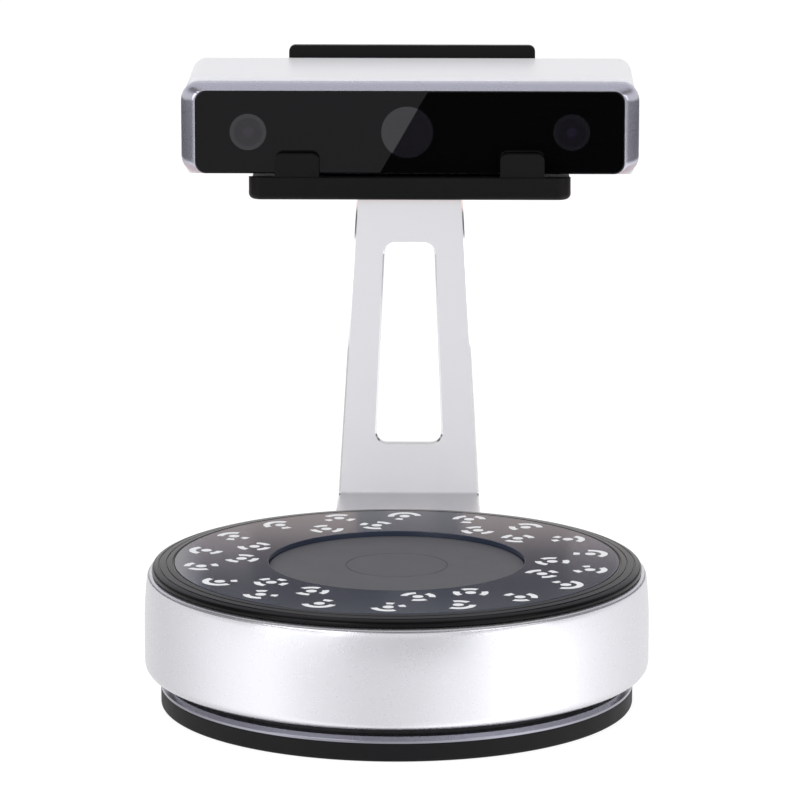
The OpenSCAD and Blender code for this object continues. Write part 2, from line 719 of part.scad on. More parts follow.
// Front view of the slot: a tapered opening with round corners
module slot_front() {
    a = slot_w_low / 2;
    b = slot_w_top / 2;
    polygon(concat(
        arc(a - slot_r, slot_z0 + slot_r, slot_r, -90, 0, arc_steps),
        arc(b - slot_r, slot_z1 - slot_r, slot_r, 0, 90, arc_steps),
        arc(-b + slot_r, slot_z1 - slot_r, slot_r, 90, 180, arc_steps),
        arc(-a + slot_r, slot_z0 + slot_r, slot_r, 180, 270, arc_steps)
    ));
}

// Bent aluminium plate
module arm() color("#d4d4da") difference() {
    union() {
        translate([0, 0, arm_pad_h]) linear_extrude(arm_t) arm_foot_outline(0, arm_bend_y - 8);
        intersection() {
            translate([-arm_w_low, 0, 0]) rotate([90, 0, 90]) linear_extrude(2 * arm_w_low)
                arm_side(arm_bend_y - 8);
            upright(arm_bend_y - 10, flange_y1 - arm_bend_y + 12) arm_front();
        }
    }
    upright(arm_bend_y - 5, cradle_y0 - arm_bend_y + 20) slot_front();
    arm_screw_places() {
        translate([0, 0, arm_pad_h - cut]) cylinder(r = arm_hole_r, h = arm_t + 2 * cut);
        translate([0, 0, arm_pad_h - cut]) cylinder(r = arm_head_r + run_gap, h = arm_head_h + cut);
    }
    top_screw_places() translate([0, 0, cradle_z0 - arm_t - cut]) cylinder(r = arm_hole_r, h = arm_t + 2 * cut);
}

// Screws from below, through the plate and the foot, into the tray
module arm_foot_screws() color("#8a8a90")
    arm_screw_places() translate([0, 0, arm_pad_h + arm_head_h])
        screw_up(arm_screw_r, arm_head_r, arm_head_h, shroud_z0 - 1.2 - arm_pad_h - arm_head_h);

// Thin rubber pads that keep the plate off the desk
module arm_pads() color("#1e1e21")
    for (x = [-1, 1], y = [foot_r + 25, arm_bend_y - 20])
        translate([x * 20, y, 0]) cylinder(r = 8, h = arm_pad_h);

module arm_top_screws() color("#8a8a90")
    top_screw_places() translate([0, 0, cradle_z0 - arm_t])
        screw_up(arm_screw_r, arm_head_r, arm_head_h, arm_t + top_screw_l);

// ---------------------------------------------------------------- cradle

// Plan of the tray
module cradle_plan()
    translate([0, (cradle_y0 + cradle_y1) / 2]) rounded(cradle_w, cradle_y1 - cradle_y0, cradle_r);

// Black tray with a front rail, two hooks and a rear wall with a vent window
module cradle() color("#202024") difference() {
    union() {
        intersection() {
            translate([0, 0, cradle_z0]) linear_extrude(rail_h) cradle_plan();
            upright(cradle_y0 - cut, cradle_y1 - cradle_y0 + 2 * cut)
                translate([0, cradle_z0 + rail_h]) rounded(cradle_w, 2 * rail_h, cradle_edge_r);
            union() {
                block(-cradle_w, cradle_y0, cradle_z0, cradle_w, cradle_y1, cradle_top);
                block(-cradle_w, cradle_y0, cradle_z0, cradle_w, cradle_y0 + cradle_wall, rail_top);
                for (x = [-cradle_w, cradle_w / 2 - cradle_wall])
                    block(x, cradle_y0, cradle_z0, x + cradle_w / 2 + cradle_wall, cradle_y0 + cradle_r + 2, side_top);
            }
        }
        for (x = [-1, 1]) translate([x * hook_pitch / 2, 0, 0]) upright(cradle_y0 + 1, cradle_wall - 1)
            translate([0, rail_top + hook_h / 2 - 2]) rounded(hook_w, hook_h + 4, 3.5);
        upright(cradle_y1 - back_t, back_t) translate([0, (cradle_z0 + 4 + head_z1 + back_rise) / 2])
            rounded(back_w, head_z1 + back_rise - cradle_z0 - 4, back_r);
        block(-back_w / 2, cradle_y1 - back_t, cradle_z0 + 0.5, back_w / 2, cradle_y1, cradle_z0 + 20);
        top_screw_places() translate([0, 0, cradle_z0])
            cylinder(r = arm_screw_r + 2.2, h = cradle_floor + boss_up);
    }
    upright(cradle_y1 - back_t - cut, back_t + 2 * cut) translate([0, head_zc]) rounded(window_w, window_h, 4);
    top_screw_places() translate([0, 0, cradle_z0 - cut]) cylinder(r = arm_hole_r, h = top_screw_l + cut);
}

module hook_pads() color("#141416")
    for (x = [-1, 1]) translate([x * hook_pitch / 2, 0, 0]) upright(cradle_y0 + cradle_wall, hook_pad_t)
        translate([0, rail_top + hook_h / 2]) rounded(hook_w - 5, hook_h - 4, 2);

module cradle_pads() color("#141416")
    for (x = [-1, 1], y = [cradle_y0 + 20, cradle_y1 - 18])
        translate([x * 52, y, cradle_top]) cylinder(r = 6, h = pad_t);

// ---------------------------------------------------------------- head

// Plan of the shell, grown inwards by a wall
module shell_plan(wall) {
    r = shell_r - wall;
    w = shell_w / 2 - wall;
    y1 = head_y1 - wall;
    y0 = wall > 0 ? shell_y0 - cut : shell_y0;
    translate([-w, y0]) square([2 * w, y1 - r - y0]);
    translate([-w + r, y1 - r - 1]) square([2 * (w - r), r + 1]);
    for (x = [-1, 1]) translate([x * (w - r), y1 - r]) circle(r);
}

// A box with the shell's plan and round edges along its length
module shell_form(wall) {
    intersection() {
        translate([-shell_w, 0, 0]) rotate([90, 0, 90]) linear_extrude(2 * shell_w)
            translate([head_y1 - wall - head_d, shell_zc])
                rounded(2 * head_d, head_h - 2 * wall, max(shell_edge_r - wall, 0.5));
        translate([0, 0, head_z0 + wall]) linear_extrude(head_h - 2 * wall) shell_plan(wall);
        upright(shell_y0 - 2 * cut, head_d) translate([0, shell_zc])
            rounded(shell_w - 2 * wall, head_h - 2 * wall, edge_r - wall);
    }
}

// White rear shell, open at the front, with its vents, ports and bosses
module head_shell() color("#ececee") difference() {
    union() {
        difference() {
            shell_form(0);
            shell_form(shell_wall);
        }
        intersection() {
            shell_form(1);
            union() {
                frame_bosses() along_y(0, frame_y1, 0, 3.5, 12);
                for (x = [-1, 1], z = [-1, 1])
                    block(x > 0 ? frame_boss_x : -shell_w / 2, frame_y1, head_zc + z * frame_boss_z - 1,
                        x > 0 ? shell_w / 2 : -frame_boss_x, frame_y1 + 12, head_zc + z * frame_boss_z + 1);
                board_posts() translate([0, 0, head_z0]) cylinder(r = standoff_r, h = head_board_z - head_z0);
                translate([0, insert_y, head_z0]) cylinder(r = insert_r + 3, h = insert_h);
                fan_corners() along_y(0, fan_y1, 0, 2.6, shell_wall);
            }
        }
    }
    frame_bosses() along_y(0, frame_y1 - cut, 0, screw_hole_r, 10 + cut);
    board_posts() translate([0, 0, head_z0 + 1]) cylinder(r = small_hole_r, h = head_board_z - head_z0);
    translate([0, insert_y, head_z0 - cut]) cylinder(r = insert_r + run_gap, h = insert_h + 2 * cut);
    for (i = [-3:3]) upright(shell_in_y1 - cut, shell_wall + 2 * cut) translate([i * vent_pitch, head_zc])
        rounded(vent_w, fan_w - 11, vent_w / 2 - 0.05);
    for (x = [-1, 1], i = [0:intake_n - 1]) translate([x * (board_end - 5 - i * intake_pitch), 0, 0])
        block(-vent_w / 2, head_board_y0 + 21, head_z0 - cut, vent_w / 2, shell_in_y1 - 7, shell_in_z0 + cut);
    fan_corners() along_y(0, fan_y1 - cut, 0, small_hole_r, shell_in_y1 - fan_y1 + shell_wall - 1 + cut);
    port_cut(usb_x, usb_w, head_board_top, usb_h);
    port_cut(jack_x, jack_w, head_board_top, jack_h);
    port_cut(link_x, port_w + 2 * port_wall, head_board_top, port_h + port_wall);
    along_y(button_x, shell_in_y1 - cut, button_z, button_r + slide_gap, shell_wall + 2 * cut);
}

module port_cut(x, w, z, h) {
    block(x - w / 2 - 0.2, shell_in_y1 - cut, z - 0.2, x + w / 2 + 0.2, head_y1 + cut, z + h + 0.2);
}

module frame_bosses() {
    for (x = [-1, 1], z = [-1, 1]) translate([x * frame_boss_x, 0, head_zc + z * frame_boss_z]) children();
}

module board_posts() {
    for (b = [main_area, side_area], x = [b[0] + 4, b[2] - 4], y = [b[1] + 4, b[1] + 16])
        translate([x, y, 0]) children();
}

// The bezel's outline, from its front edge (share 0) to its widest part (share 1)
module bezel_outline(share) {
    w = glass_w + 2 * bezel_lip;
    h = glass_h + 2 * bezel_lip;
    r = glass_r + bezel_lip;
    translate([0, head_zc + share * (bezel_zc - head_zc)])
        rounded(w + share * (head_w - w), h + share * (bezel_h - h), r + share * (bezel_r - r), $fn = 32);
}

// Silver bezel: a frame whose face curves back from the glass, with a spigot into the shell
module bezel() color("#a2a2ae") difference() {
    union() {
        hull() {
            for (c = bezel_curve) upright(head_reach + c[0] * bezel_slope, 0.1) bezel_outline(c[1]);
            upright(head_reach + bezel_slope, bezel_edge) bezel_outline(1);
        }
        upright(shell_y0, spigot_l) translate([0, shell_zc])
            rounded(shell_in_w - 0.2, head_h - 2 * shell_wall - 0.2, edge_r - shell_wall);
    }
    upright(head_reach - cut, glass_t + cut) translate([0, head_zc])
        rounded(glass_w + 0.2, glass_h + 0.2, glass_r);
    upright(head_reach, spigot_l + shell_y0 - head_reach + cut) translate([0, head_zc])
        rounded(glass_w - 4, glass_h - 4, glass_r - 2);
}

// Black glass over the cameras and the projector
module front_glass() color("#0e0e10")
    upright(head_reach, glass_t) translate([0, head_zc]) rounded(glass_w, glass_h, glass_r);

// Stiff aluminium plate that holds the two cameras and the projector in line
module optics_frame() color("#b0b0b6") difference() {
    upright(frame_y0, frame_t) translate([0, head_zc]) rounded(frame_w, frame_h, 3);
    for (x = [-1, 1]) along_y(x * camera_x, frame_y0 - cut, head_zc, camera_r + 0.1, frame_t + 2 * cut);
    along_y(0, frame_y0 - cut, head_zc, projector_r + 0.1, frame_t + 2 * cut);
    frame_bosses() along_y(0, frame_y0 - cut, 0, screw_hole_r, frame_t + 2 * cut);
    for (x = [-1, 1]) upright(frame_y0 - cut, frame_t + 2 * cut) translate([x * camera_x / 2, head_zc])
        rounded(camera_x / 4, frame_h / 2, 3);
}

module frame_screws() color("#8a8a90")
    frame_bosses() translate([0, frame_y0, 0]) rotate([-90, 0, 0])
        screw_up(screw_r, screw_head_r, screw_head_h, frame_t + 9);

// Camera: a lens barrel that passes through the frame and a square body behind it
module camera(x) color("#1a1a1e") difference() {
    union() {
        along_y(x, barrel_y0, head_zc, camera_r, frame_y1 - barrel_y0);
        block(x - camera_body / 2, frame_y1, head_zc - camera_body / 2,
            x + camera_body / 2, frame_y1 + camera_len, head_zc + camera_body / 2);
    }
    along_y(x, barrel_y0 - cut, head_zc, camera_r - barrel_wall, 10 + cut);
}

module left_camera() camera(-camera_x);

module right_camera() camera(camera_x);

module lens(x, r) color("#34344a")
    along_y(x, barrel_y0 + 1.2, head_zc, r, 8.8);

module left_lens() lens(-camera_x, camera_r - barrel_wall - run_gap);

module right_lens() lens(camera_x, camera_r - barrel_wall - run_gap);

// Pattern projector: barrel, light engine and mounting foot
module projector() color("#242428") difference() {
    union() {
        along_y(0, barrel_y0, head_zc, projector_r, frame_y1 - barrel_y0);
        block(-projector_w / 2, frame_y1, head_zc - projector_h / 2,
            projector_w / 2, sink_y0, head_zc + projector_h / 2);
    }
    along_y(0, barrel_y0 - cut, head_zc, projector_r - barrel_wall, 12 + cut);
}

module projector_lens() color("#3a3a48")
    along_y(0, barrel_y0 + 1.5, head_zc, projector_r - barrel_wall - run_gap, 10.5);

// Finned aluminium block behind the projector
module heat_sink() color("#9c9ca2") {
    block(-18, sink_y0, head_zc - 14, 18, sink_y0 + 3, head_zc + 14);
    for (i = [-5:5]) block(i * 3.4 - 0.6, sink_y0 + 2.5, head_zc - 14, i * 3.4 + 0.6, sink_y1, head_zc + 14);
}

// Square fan housing with four spokes and a bearing boss
module fan_frame() color("#2a2a2e") {
    difference() {
        upright(fan_y0, fan_t) translate([0, head_zc]) rounded(fan_w, fan_w, 2);
        along_y(0, fan_y0 - cut, head_zc, fan_r, fan_t + 2 * cut);
        fan_corners() along_y(0, fan_y0 - cut, 0, small_hole_r, fan_t + 2 * cut);
    }
    for (a = [45:90:315]) translate([0, 0, head_zc]) rotate([0, a, 0])
        block(3, fan_y1 - spoke_t, -1, fan_r + 0.5, fan_y1, 1);
    difference() {
        along_y(0, fan_y1 - spoke_t, head_zc, 5, spoke_t);
        along_y(0, fan_y1 - spoke_t - cut, head_zc, fan_pin_r + run_gap, spoke_t + 2 * cut);
    }
}

module fan_corners() {
    c = fan_w / 2 - 3;
    for (x = [-1, 1], z = [-1, 1]) translate([x * c, 0, head_zc + z * c]) children();
}

// Screws through the fan's corners into the shell's rear wall
module fan_screws() color("#8a8a90")
    fan_corners() translate([0, fan_y0, 0]) rotate([-90, 0, 0])
        screw_up(small_r, 2, 1, fan_t + shell_in_y1 - fan_y1 + shell_wall - 1);

// Fan rotor: hub, pin and seven pitched blades
module fan_rotor() color("#3c3c42") {
    y0 = fan_y0 + turn_gap;
    len = fan_t - spoke_t - 2 * turn_gap;
    along_y(0, y0, head_zc, rotor_hub_r, len);
    along_y(0, y0, head_zc, fan_pin_r, len + turn_gap + spoke_t);
    intersection() {
        difference() {
            along_y(0, y0, head_zc, fan_r - turn_gap, len);
            along_y(0, y0 - cut, head_zc, rotor_hub_r - 0.5, len + 2 * cut);
        }
        for (i = [0:6]) translate([0, y0 + len / 2, head_zc]) rotate([0, i * 360 / 7, 0])
            translate([fan_r / 2, 0, 0]) rotate([40, 0, 0]) cube([fan_r, len * 1.6, 1], center = true);
    }
}

// A circuit board with its screw holes and parts
module head_board(b, parts) color("#1f5c3a") difference() {
    union() {
        block(b[0], b[1], head_board_z, b[2], b[3], head_board_top);
        for (p = parts) block(p[0], p[1], head_board_top, p[0] + p[2], p[1] + p[3], head_board_top + p[4]);
    }
    board_posts() translate([0, 0, head_board_z - cut]) cylinder(r = small_hole_r, h = board_t + 2 * cut);
}

module main_board() head_board(main_area, [
    [main_area[2] - 26, head_board_y0 + 14, 14, 14, 1.6], [main_area[2] - 10, head_board_y0 + 28, 6, 6, 1.2],
    [main_area[0] + 16, head_board_y0 + 6, 12, 4, 4], [main_area[2] - 16, head_board_y0 + 1, 8, 12, 4]
]);

module side_board() head_board(side_area, [
    [side_area[2] - 22, head_board_y0 + 13, 6, 6, 1.4], [side_area[2] - 24, head_board_y0 + 3, 12, 5, 4]
]);

module head_board_screws() color("#8a8a90")
    board_posts() translate([0, 0, head_board_top]) mirror([0, 0, 1])
        screw_up(small_r, screw_head_r - 0.6, screw_head_h - 0.4, board_t + 3.5);

// Square data socket with its contact block
module usb_socket() color("#b8b8bc") {
    socket(usb_x, socket_y0, head_board_top, socket_y1, head_board_top + usb_h, usb_w, 8.6, 7.8,
        head_board_top + usb_h / 2, port_depth);
}

// Barrel socket for the mains adapter, with its centre pin
module power_socket() color("#1c1c20") {
    difference() {
        block(jack_x - jack_w / 2, socket_y0, head_board_top,
            jack_x + jack_w / 2, socket_y1, head_board_top + jack_h);
        along_y(jack_x, socket_y1 - port_depth, head_board_top + jack_h / 2, jack_bore_r, port_depth + cut);
    }
    along_y(jack_x, socket_y1 - port_depth - 0.5, head_board_top + jack_h / 2, jack_pin_r, port_depth - jack_pin_in);
}

// Socket for the lead to the turntable
module link_socket() color("#222226")
    socket(link_x, socket_y0, head_board_top, socket_y1, head_board_top + port_h + port_wall,
        port_w + 2 * port_wall, port_w, port_h - port_wall, head_board_top + port_h / 2 + 1, port_depth);

// Push switch behind the power button
module button_switch() color("#2c2c30") {
    block(button_x - tact_w / 2, tact_y1 - 4, head_board_top,
        button_x + tact_w / 2, tact_y1 - 0.6, button_z + tact_w / 2);
    along_y(button_x, tact_y1 - 1, button_z, 1.6, 1);
}

module power_button() color("#c8c8cc") {
    along_y(button_x, button_y0, button_z, button_r, head_y1 + button_proud - button_y0);
    along_y(button_x, button_y0, button_z, button_r + 1, button_flange);
    along_y(button_x, tact_y1 + button_travel + 0.1, button_z, 1.5, button_y0 - tact_y1 - button_travel + 0.4);
}

// Brass insert for a camera tripod's screw
module tripod_insert() color("#c0a050") translate([0, insert_y, 0])
    ring(insert_r, insert_bore_r, head_z0, head_z0 + insert_h);

base_foot();
base_tray();
trim_ring();
shroud();
base_screws();
deck();
deck_screws();
outer_race();
bearing_balls();
motor();
motor_screws();
control_board();
control_board_screws();
base_socket();
platter();
marker_ring();
centre_mat();
platter_gear();
spindle();
inner_race();
spindle_clip();
platter_screws();
pinion();
motor_shaft();
arm();
arm_foot_screws();
arm_pads();
arm_top_screws();
cradle();
hook_pads();
cradle_pads();
head_shell();
bezel();
front_glass();
optics_frame();
frame_screws();
left_camera();
right_camera();
left_lens();
right_lens();
projector();
projector_lens();
heat_sink();
fan_frame();
fan_screws();
fan_rotor();
main_board();
side_board();
head_board_screws();
usb_socket();
power_socket();
link_socket();
button_switch();
power_button();
tripod_insert();
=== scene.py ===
import math

import bmesh
import bpy
from mathutils import Matrix, Vector


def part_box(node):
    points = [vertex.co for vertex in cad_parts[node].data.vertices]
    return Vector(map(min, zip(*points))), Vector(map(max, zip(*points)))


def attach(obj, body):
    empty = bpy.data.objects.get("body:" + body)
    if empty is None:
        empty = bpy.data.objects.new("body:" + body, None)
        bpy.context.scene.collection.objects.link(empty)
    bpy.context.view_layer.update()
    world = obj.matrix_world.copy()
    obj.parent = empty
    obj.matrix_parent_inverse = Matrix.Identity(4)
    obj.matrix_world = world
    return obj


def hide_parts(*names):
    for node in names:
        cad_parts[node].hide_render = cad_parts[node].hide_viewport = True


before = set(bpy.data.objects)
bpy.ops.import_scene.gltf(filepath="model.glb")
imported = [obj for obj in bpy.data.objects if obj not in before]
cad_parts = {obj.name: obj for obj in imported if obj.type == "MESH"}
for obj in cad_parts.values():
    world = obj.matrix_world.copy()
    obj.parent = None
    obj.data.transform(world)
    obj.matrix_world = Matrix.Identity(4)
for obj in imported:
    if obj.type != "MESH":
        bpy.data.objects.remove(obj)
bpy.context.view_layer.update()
MM = 0.001

# ---------------------------------------------------------------- the view
# A long lens stands two metres in front of the turntable, a little to the right of its axis, and
# looks down at it by about twelve degrees.
CAMERA_PLACE = (0.0321, -2.0429, 0.5422)
LENS = 238.4
LOOK_DOWN = 11.63
LOOK_LEFT = 0.864

lens = bpy.data.cameras.new("view")
lens.sensor_width = 36
lens.lens = LENS
camera = bpy.data.objects.new("view", lens)
camera.location = CAMERA_PLACE
camera.rotation_euler = (math.radians(90 - LOOK_DOWN), 0, math.radians(LOOK_LEFT))
bpy.context.scene.collection.objects.link(camera)
bpy.context.scene.camera = camera
bpy.context.scene.view_settings.view_transform = "Standard"

# ---------------------------------------------------------------- the studio
# A white floor in a white room with a dim ceiling, and large soft lamps: one in front to the left,
# one to the right, one above. Metal and glass see soft pools of light below the horizon, and cards.
FLOOR_SIZE = 12.0
ROOM_LIGHT = 0.5
HORIZON_SHINE = 0.95
CEILING_SHINE = 0.12
CEILING_START, CEILING_FULL = 0.34, 0.62
POOLS_START = -0.1
PAPER_GLOW = 1.25
PAPER_GLOW_SHARE = 0.7
FLOOR_DROP = 0.0002
LAMPS = {
    # name: place, size, power in watts
    "left_softbox": ((-1.4, -1.5, 0.9), (1.6, 1.8), 20),
    "right_softbox": ((1.6, -1.2, 0.8), (1.4, 1.6), 12),
    "top_softbox": ((0.1, 0.5, 1.9), (2.8, 2.4), 10),
}
LAMP_TARGET = (0, 0.15, 0.08)
# Degrees from the front towards the right, and how brightly metal sees the floor shine there
POOLS = ((-90, 1.31), (-84, 1.38), (-72, 1.49), (-61, 1.61), (-51, 1.42), (-41, 1.17), (-31, 1.08),
         (-22, 1.02), (-12, 0.94), (5, 1.03), (15, 1.11), (24, 1.32), (34, 1.33), (43, 1.56),
         (55, 1.9), (78, 1.88), (90, 1.61), (100, 1.38), (116, 1.2), (136, 1.06), (160, 0.98),
         (195, 0.94), (229, 0.86), (248, 0.97), (263, 1.17), (270, 1.31))
BRIGHTEST_POOL = 2.0
CARDS = {
    # name: colour, corners
    "black_card": ("#0c0c0d", [(-0.0334, -0.50, 0.001), (0.35, -0.50, 0.001), (0.35, -0.95, 0.001),
                               (-0.0002, -0.95, 0.001)]),
    "grey_card": ("#a3a3a6", [(-0.35, -0.50, 0.001), (-0.0334, -0.50, 0.001), (-0.0002, -0.95, 0.001),
                              (-0.35, -0.95, 0.001)]),
    "left_flag": ("#55555c", [(-0.3, -0.6, 0.09), (-0.3, 0.9, 0.09), (-0.3, 0.9, 0.175),
                              (-0.3, -0.6, 0.175)]),
    "right_flag": ("#5e5e66", [(0.3, -0.6, 0.09), (0.3, 0.9, 0.09), (0.3, 0.9, 0.175),
                               (0.3, -0.6, 0.175)]),
    "back_card": ("#dcdce4", [(-1.0, 1.2, 0.48), (1.0, 1.2, 0.48), (1.0, 1.2, 1.9),
                              (-1.0, 1.2, 1.9)]),
    # A glowing warm sheet just under the cradle, seen only in reflections: a painted reflection of warm light
    # in the back of the marker ring, where the dark underside of the cradle and head would show.
    "warm_reflection_card": ("#ffeee8", [(-0.13, 0.381, 0.1375), (0.13, 0.381, 0.1375), (0.13, 0.56, 0.1375),
                              (-0.13, 0.56, 0.1375)]),
}


def linear(code):
    """The linear colour of an sRGB hex value such as #d2d2d8"""
    parts = [int(code[i:i + 2], 16) / 255 for i in (1, 3, 5)]
    return [c / 12.92 if c <= 0.04045 else ((c + 0.055) / 1.055) ** 2.4 for c in parts] + [1.0]


def add_node(tree, kind, sockets=None, **settings):
    """Adds a node, with its settings, and gives each named socket a value or a link"""
    node = tree.nodes.new(kind)
    for name, value in settings.items():
        setattr(node, name, value)
    for name, value in (sockets or {}).items():
        if isinstance(value, bpy.types.NodeSocket):
            tree.links.new(value, node.inputs[name])
        else:
            node.inputs[name].default_value = value
    return node


room = bpy.data.worlds.new("room")
bpy.context.scene.world = room
room.use_nodes = True
tree = room.node_tree
tree.nodes.clear()
rays = add_node(tree, "ShaderNodeLightPath")
seen = add_node(tree, "ShaderNodeMath", {0: rays.outputs["Is Camera Ray"],
                                         1: rays.outputs["Is Transmission Ray"]}, operation="MAXIMUM")
sky = add_node(tree, "ShaderNodeTexCoord")
height = add_node(tree, "ShaderNodeSeparateXYZ", {0: sky.outputs["Generated"]})
above = add_node(tree, "ShaderNodeMapRange", {"Value": height.outputs["Z"], "From Min": CEILING_START,
                                              "From Max": CEILING_FULL, "To Min": HORIZON_SHINE,
                                              "To Max": CEILING_SHINE}, interpolation_type="SMOOTHSTEP")
turn = add_node(tree, "ShaderNodeTexGradient", {"Vector": sky.outputs["Generated"]}, gradient_type="RADIAL")
pools = add_node(tree, "ShaderNodeValToRGB", {"Fac": turn.outputs["Fac"]})
for i, (angle, level) in enumerate(POOLS):
    position = 0.25 + angle / 360
    stop = pools.color_ramp.elements[i] if i < 2 else pools.color_ramp.elements.new(position)
    stop.position = position
    stop.color = [level / BRIGHTEST_POOL] * 3 + [1]
below = add_node(tree, "ShaderNodeMath", {0: pools.outputs["Color"], 1: BRIGHTEST_POOL}, operation="MULTIPLY")
shine = add_node(tree, "ShaderNodeMapRange", {"Value": height.outputs["Z"], "From Min": POOLS_START,
                                              "From Max": 0.0, "To Min": below.outputs[0],
                                              "To Max": above.outputs["Result"]})
light = add_node(tree, "ShaderNodeMapRange", {"Value": rays.outputs["Is Glossy Ray"], "To Min": ROOM_LIGHT,
                                              "To Max": shine.outputs["Result"]})
light = add_node(tree, "ShaderNodeMapRange", {"Value": seen.outputs[0], "To Min": light.outputs["Result"],
                                              "To Max": 1.0})
walls = add_node(tree, "ShaderNodeBackground", {"Color": linear("#ffffff"),
                                                "Strength": light.outputs["Result"]})
add_node(tree, "ShaderNodeOutputWorld", {"Surface": walls.outputs[0]})

# Matt white paper, a little brighter to the camera than it is lit; reflections look through it.
floor_paper = bpy.data.materials.new("white_paper_floor")
floor_paper.use_nodes = True
tree = floor_paper.node_tree
tree.nodes.clear()
rays = add_node(tree, "ShaderNodeLightPath")
paper = add_node(tree, "ShaderNodeBsdfDiffuse", {"Color": linear("#f4f4f5")})
glow = add_node(tree, "ShaderNodeEmission", {"Color": linear("#ffffff"), "Strength": PAPER_GLOW})
clear = add_node(tree, "ShaderNodeBsdfTransparent")
share = add_node(tree, "ShaderNodeMath", {0: rays.outputs["Is Camera Ray"], 1: PAPER_GLOW_SHARE},
                 operation="MULTIPLY")
mix = add_node(tree, "ShaderNodeMixShader", {0: share.outputs[0], 1: paper.outputs[0], 2: glow.outputs[0]})
mix = add_node(tree, "ShaderNodeMixShader", {0: rays.outputs["Is Glossy Ray"], 1: mix.outputs[0],
                                             2: clear.outputs[0]})
add_node(tree, "ShaderNodeOutputMaterial", {"Surface": mix.outputs[0]})

bm = bmesh.new()
bmesh.ops.create_grid(bm, x_segments=1, y_segments=1, size=FLOOR_SIZE / 2)
floor_mesh = bpy.data.meshes.new("floor")
bm.to_mesh(floor_mesh)
bm.free()
floor_mesh.materials.append(floor_paper)
floor = bpy.data.objects.new("floor", floor_mesh)
floor.location = (0, 0, -FLOOR_DROP)
bpy.context.scene.collection.objects.link(floor)

for name, (colour, corners) in CARDS.items():
    card_paint = bpy.data.materials.new(name)
    card_paint.use_nodes = True
    tree = card_paint.node_tree
    tree.nodes.clear()
    flat = add_node(tree, "ShaderNodeEmission", {"Color": linear(colour), "Strength": 1.0})
    add_node(tree, "ShaderNodeOutputMaterial", {"Surface": flat.outputs[0]})
    bm = bmesh.new()
    bm.faces.new([bm.verts.new(corner) for corner in corners])
    card_mesh = bpy.data.meshes.new(name)
    bm.to_mesh(card_mesh)
    bm.free()
    card_mesh.materials.append(card_paint)
    card = bpy.data.objects.new(name, card_mesh)
    card.visible_camera = False
    card.visible_diffuse = False
    card.visible_shadow = False
    bpy.context.scene.collection.objects.link(card)

for name, (place, size, power) in LAMPS.items():
    lamp = bpy.data.lights.new(name, "AREA")
    lamp.shape = "RECTANGLE"
    lamp.size, lamp.size_y = size
    lamp.energy = power
    lamp_object = bpy.data.objects.new(name, lamp)
    lamp_object.location = place
    aim = Vector(LAMP_TARGET) - Vector(place)
    lamp_object.rotation_euler = aim.to_track_quat("-Z", "Y").to_euler()
    bpy.context.scene.collection.objects.link(lamp_object)

# ---------------------------------------------------------------- rubber foot
# The turntable stands on a moulded rubber foot with a blunt lower edge. The arm's foot plate lies
# in a channel that is milled across its underside.
FOOT_EDGE = 1.0 * MM


def new_finish(name, colour, roughness, metallic=0.0, ior=1.5, specular=0.5):
    """A finish with its plain values on the shader's own sockets; returns it and its shader"""
    finish = bpy.data.materials.new(name)
    finish.use_nodes = True
    shader = finish.node_tree.nodes["Principled BSDF"]
    shader.inputs["Base Color"].default_value = linear(colour)
    shader.inputs["Roughness"].default_value = roughness
    shader.inputs["Metallic"].default_value = metallic
    shader.inputs["IOR"].default_value = ior
    shader.inputs["Specular IOR Level"].default_value = specular
    return finish, shader


def add_grain(finish, shader, size, depth, strength=0.5, spread=0.0):
    """A fine moulded or blasted grain: lumps of that size and depth, in metres, and rough patches"""
    tree = finish.node_tree
    place = add_node(tree, "ShaderNodeTexCoord")
    lumps = add_node(tree, "ShaderNodeTexNoise", {"Vector": place.outputs["Object"], "Scale": 1 / size,
                                                  "Detail": 3.0, "Roughness": 0.6})
    bump = add_node(tree, "ShaderNodeBump", {"Height": lumps.outputs["Fac"], "Distance": depth,
                                             "Strength": strength})
    tree.links.new(bump.outputs["Normal"], shader.inputs["Normal"])
    if spread:
        base = shader.inputs["Roughness"].default_value
        patches = add_node(tree, "ShaderNodeTexNoise", {"Vector": place.outputs["Object"],
                                                        "Scale": 1 / (size * 30), "Detail": 2.0})
        rough = add_node(tree, "ShaderNodeMapRange", {"Value": patches.outputs["Fac"],
                                                      "To Min": base - spread, "To Max": base + spread})
        tree.links.new(rough.outputs["Result"], shader.inputs["Roughness"])


def turned(outline, steps=160):
    """Spins a closed outline of (radius, height, corner radius) round the turntable's axis"""
    bm = bmesh.new()
    verts = [bm.verts.new((radius, 0, height)) for radius, height, _ in outline]
    face = bm.faces.new(verts)
    for vert, (_, _, corner) in zip(verts, outline):
        if corner:
            bmesh.ops.bevel(bm, geom=[vert], offset=corner, segments=4, profile=0.5, material=-1,
                            affect="VERTICES", offset_type="OFFSET")
    bmesh.ops.delete(bm, geom=bm.faces[:], context="FACES_ONLY")
    bmesh.ops.spin(bm, geom=bm.verts[:] + bm.edges[:], cent=(0, 0, 0), axis=(0, 0, 1),
                   angle=2 * math.pi, steps=steps, use_merge=True)
    return bm


def finish_piece(name, bm, finishes, body, stands_for=(), smooth=40):
    """Closes a mesh and makes it a piece that rides on a body; edges over smooth degrees stay sharp"""
    bmesh.ops.remove_doubles(bm, verts=bm.verts[:], dist=1e-6)
    bmesh.ops.recalc_face_normals(bm, faces=bm.faces[:])
    mesh = bpy.data.meshes.new(name)
    bm.to_mesh(mesh)
    bm.free()
    mesh.polygons.foreach_set("use_smooth", [True] * len(mesh.polygons))
    mesh.set_sharp_from_angle(angle=math.radians(smooth))
    for finish in finishes:
        mesh.materials.append(finish)
    piece = bpy.data.objects.new(name, mesh)
    bpy.context.scene.collection.objects.link(piece)
    flat = piece.modifiers.new("flat_faces", "WEIGHTED_NORMAL")
    flat.keep_sharp = True
    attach(piece, body)
    if stands_for:
        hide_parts(*stands_for)
    return piece


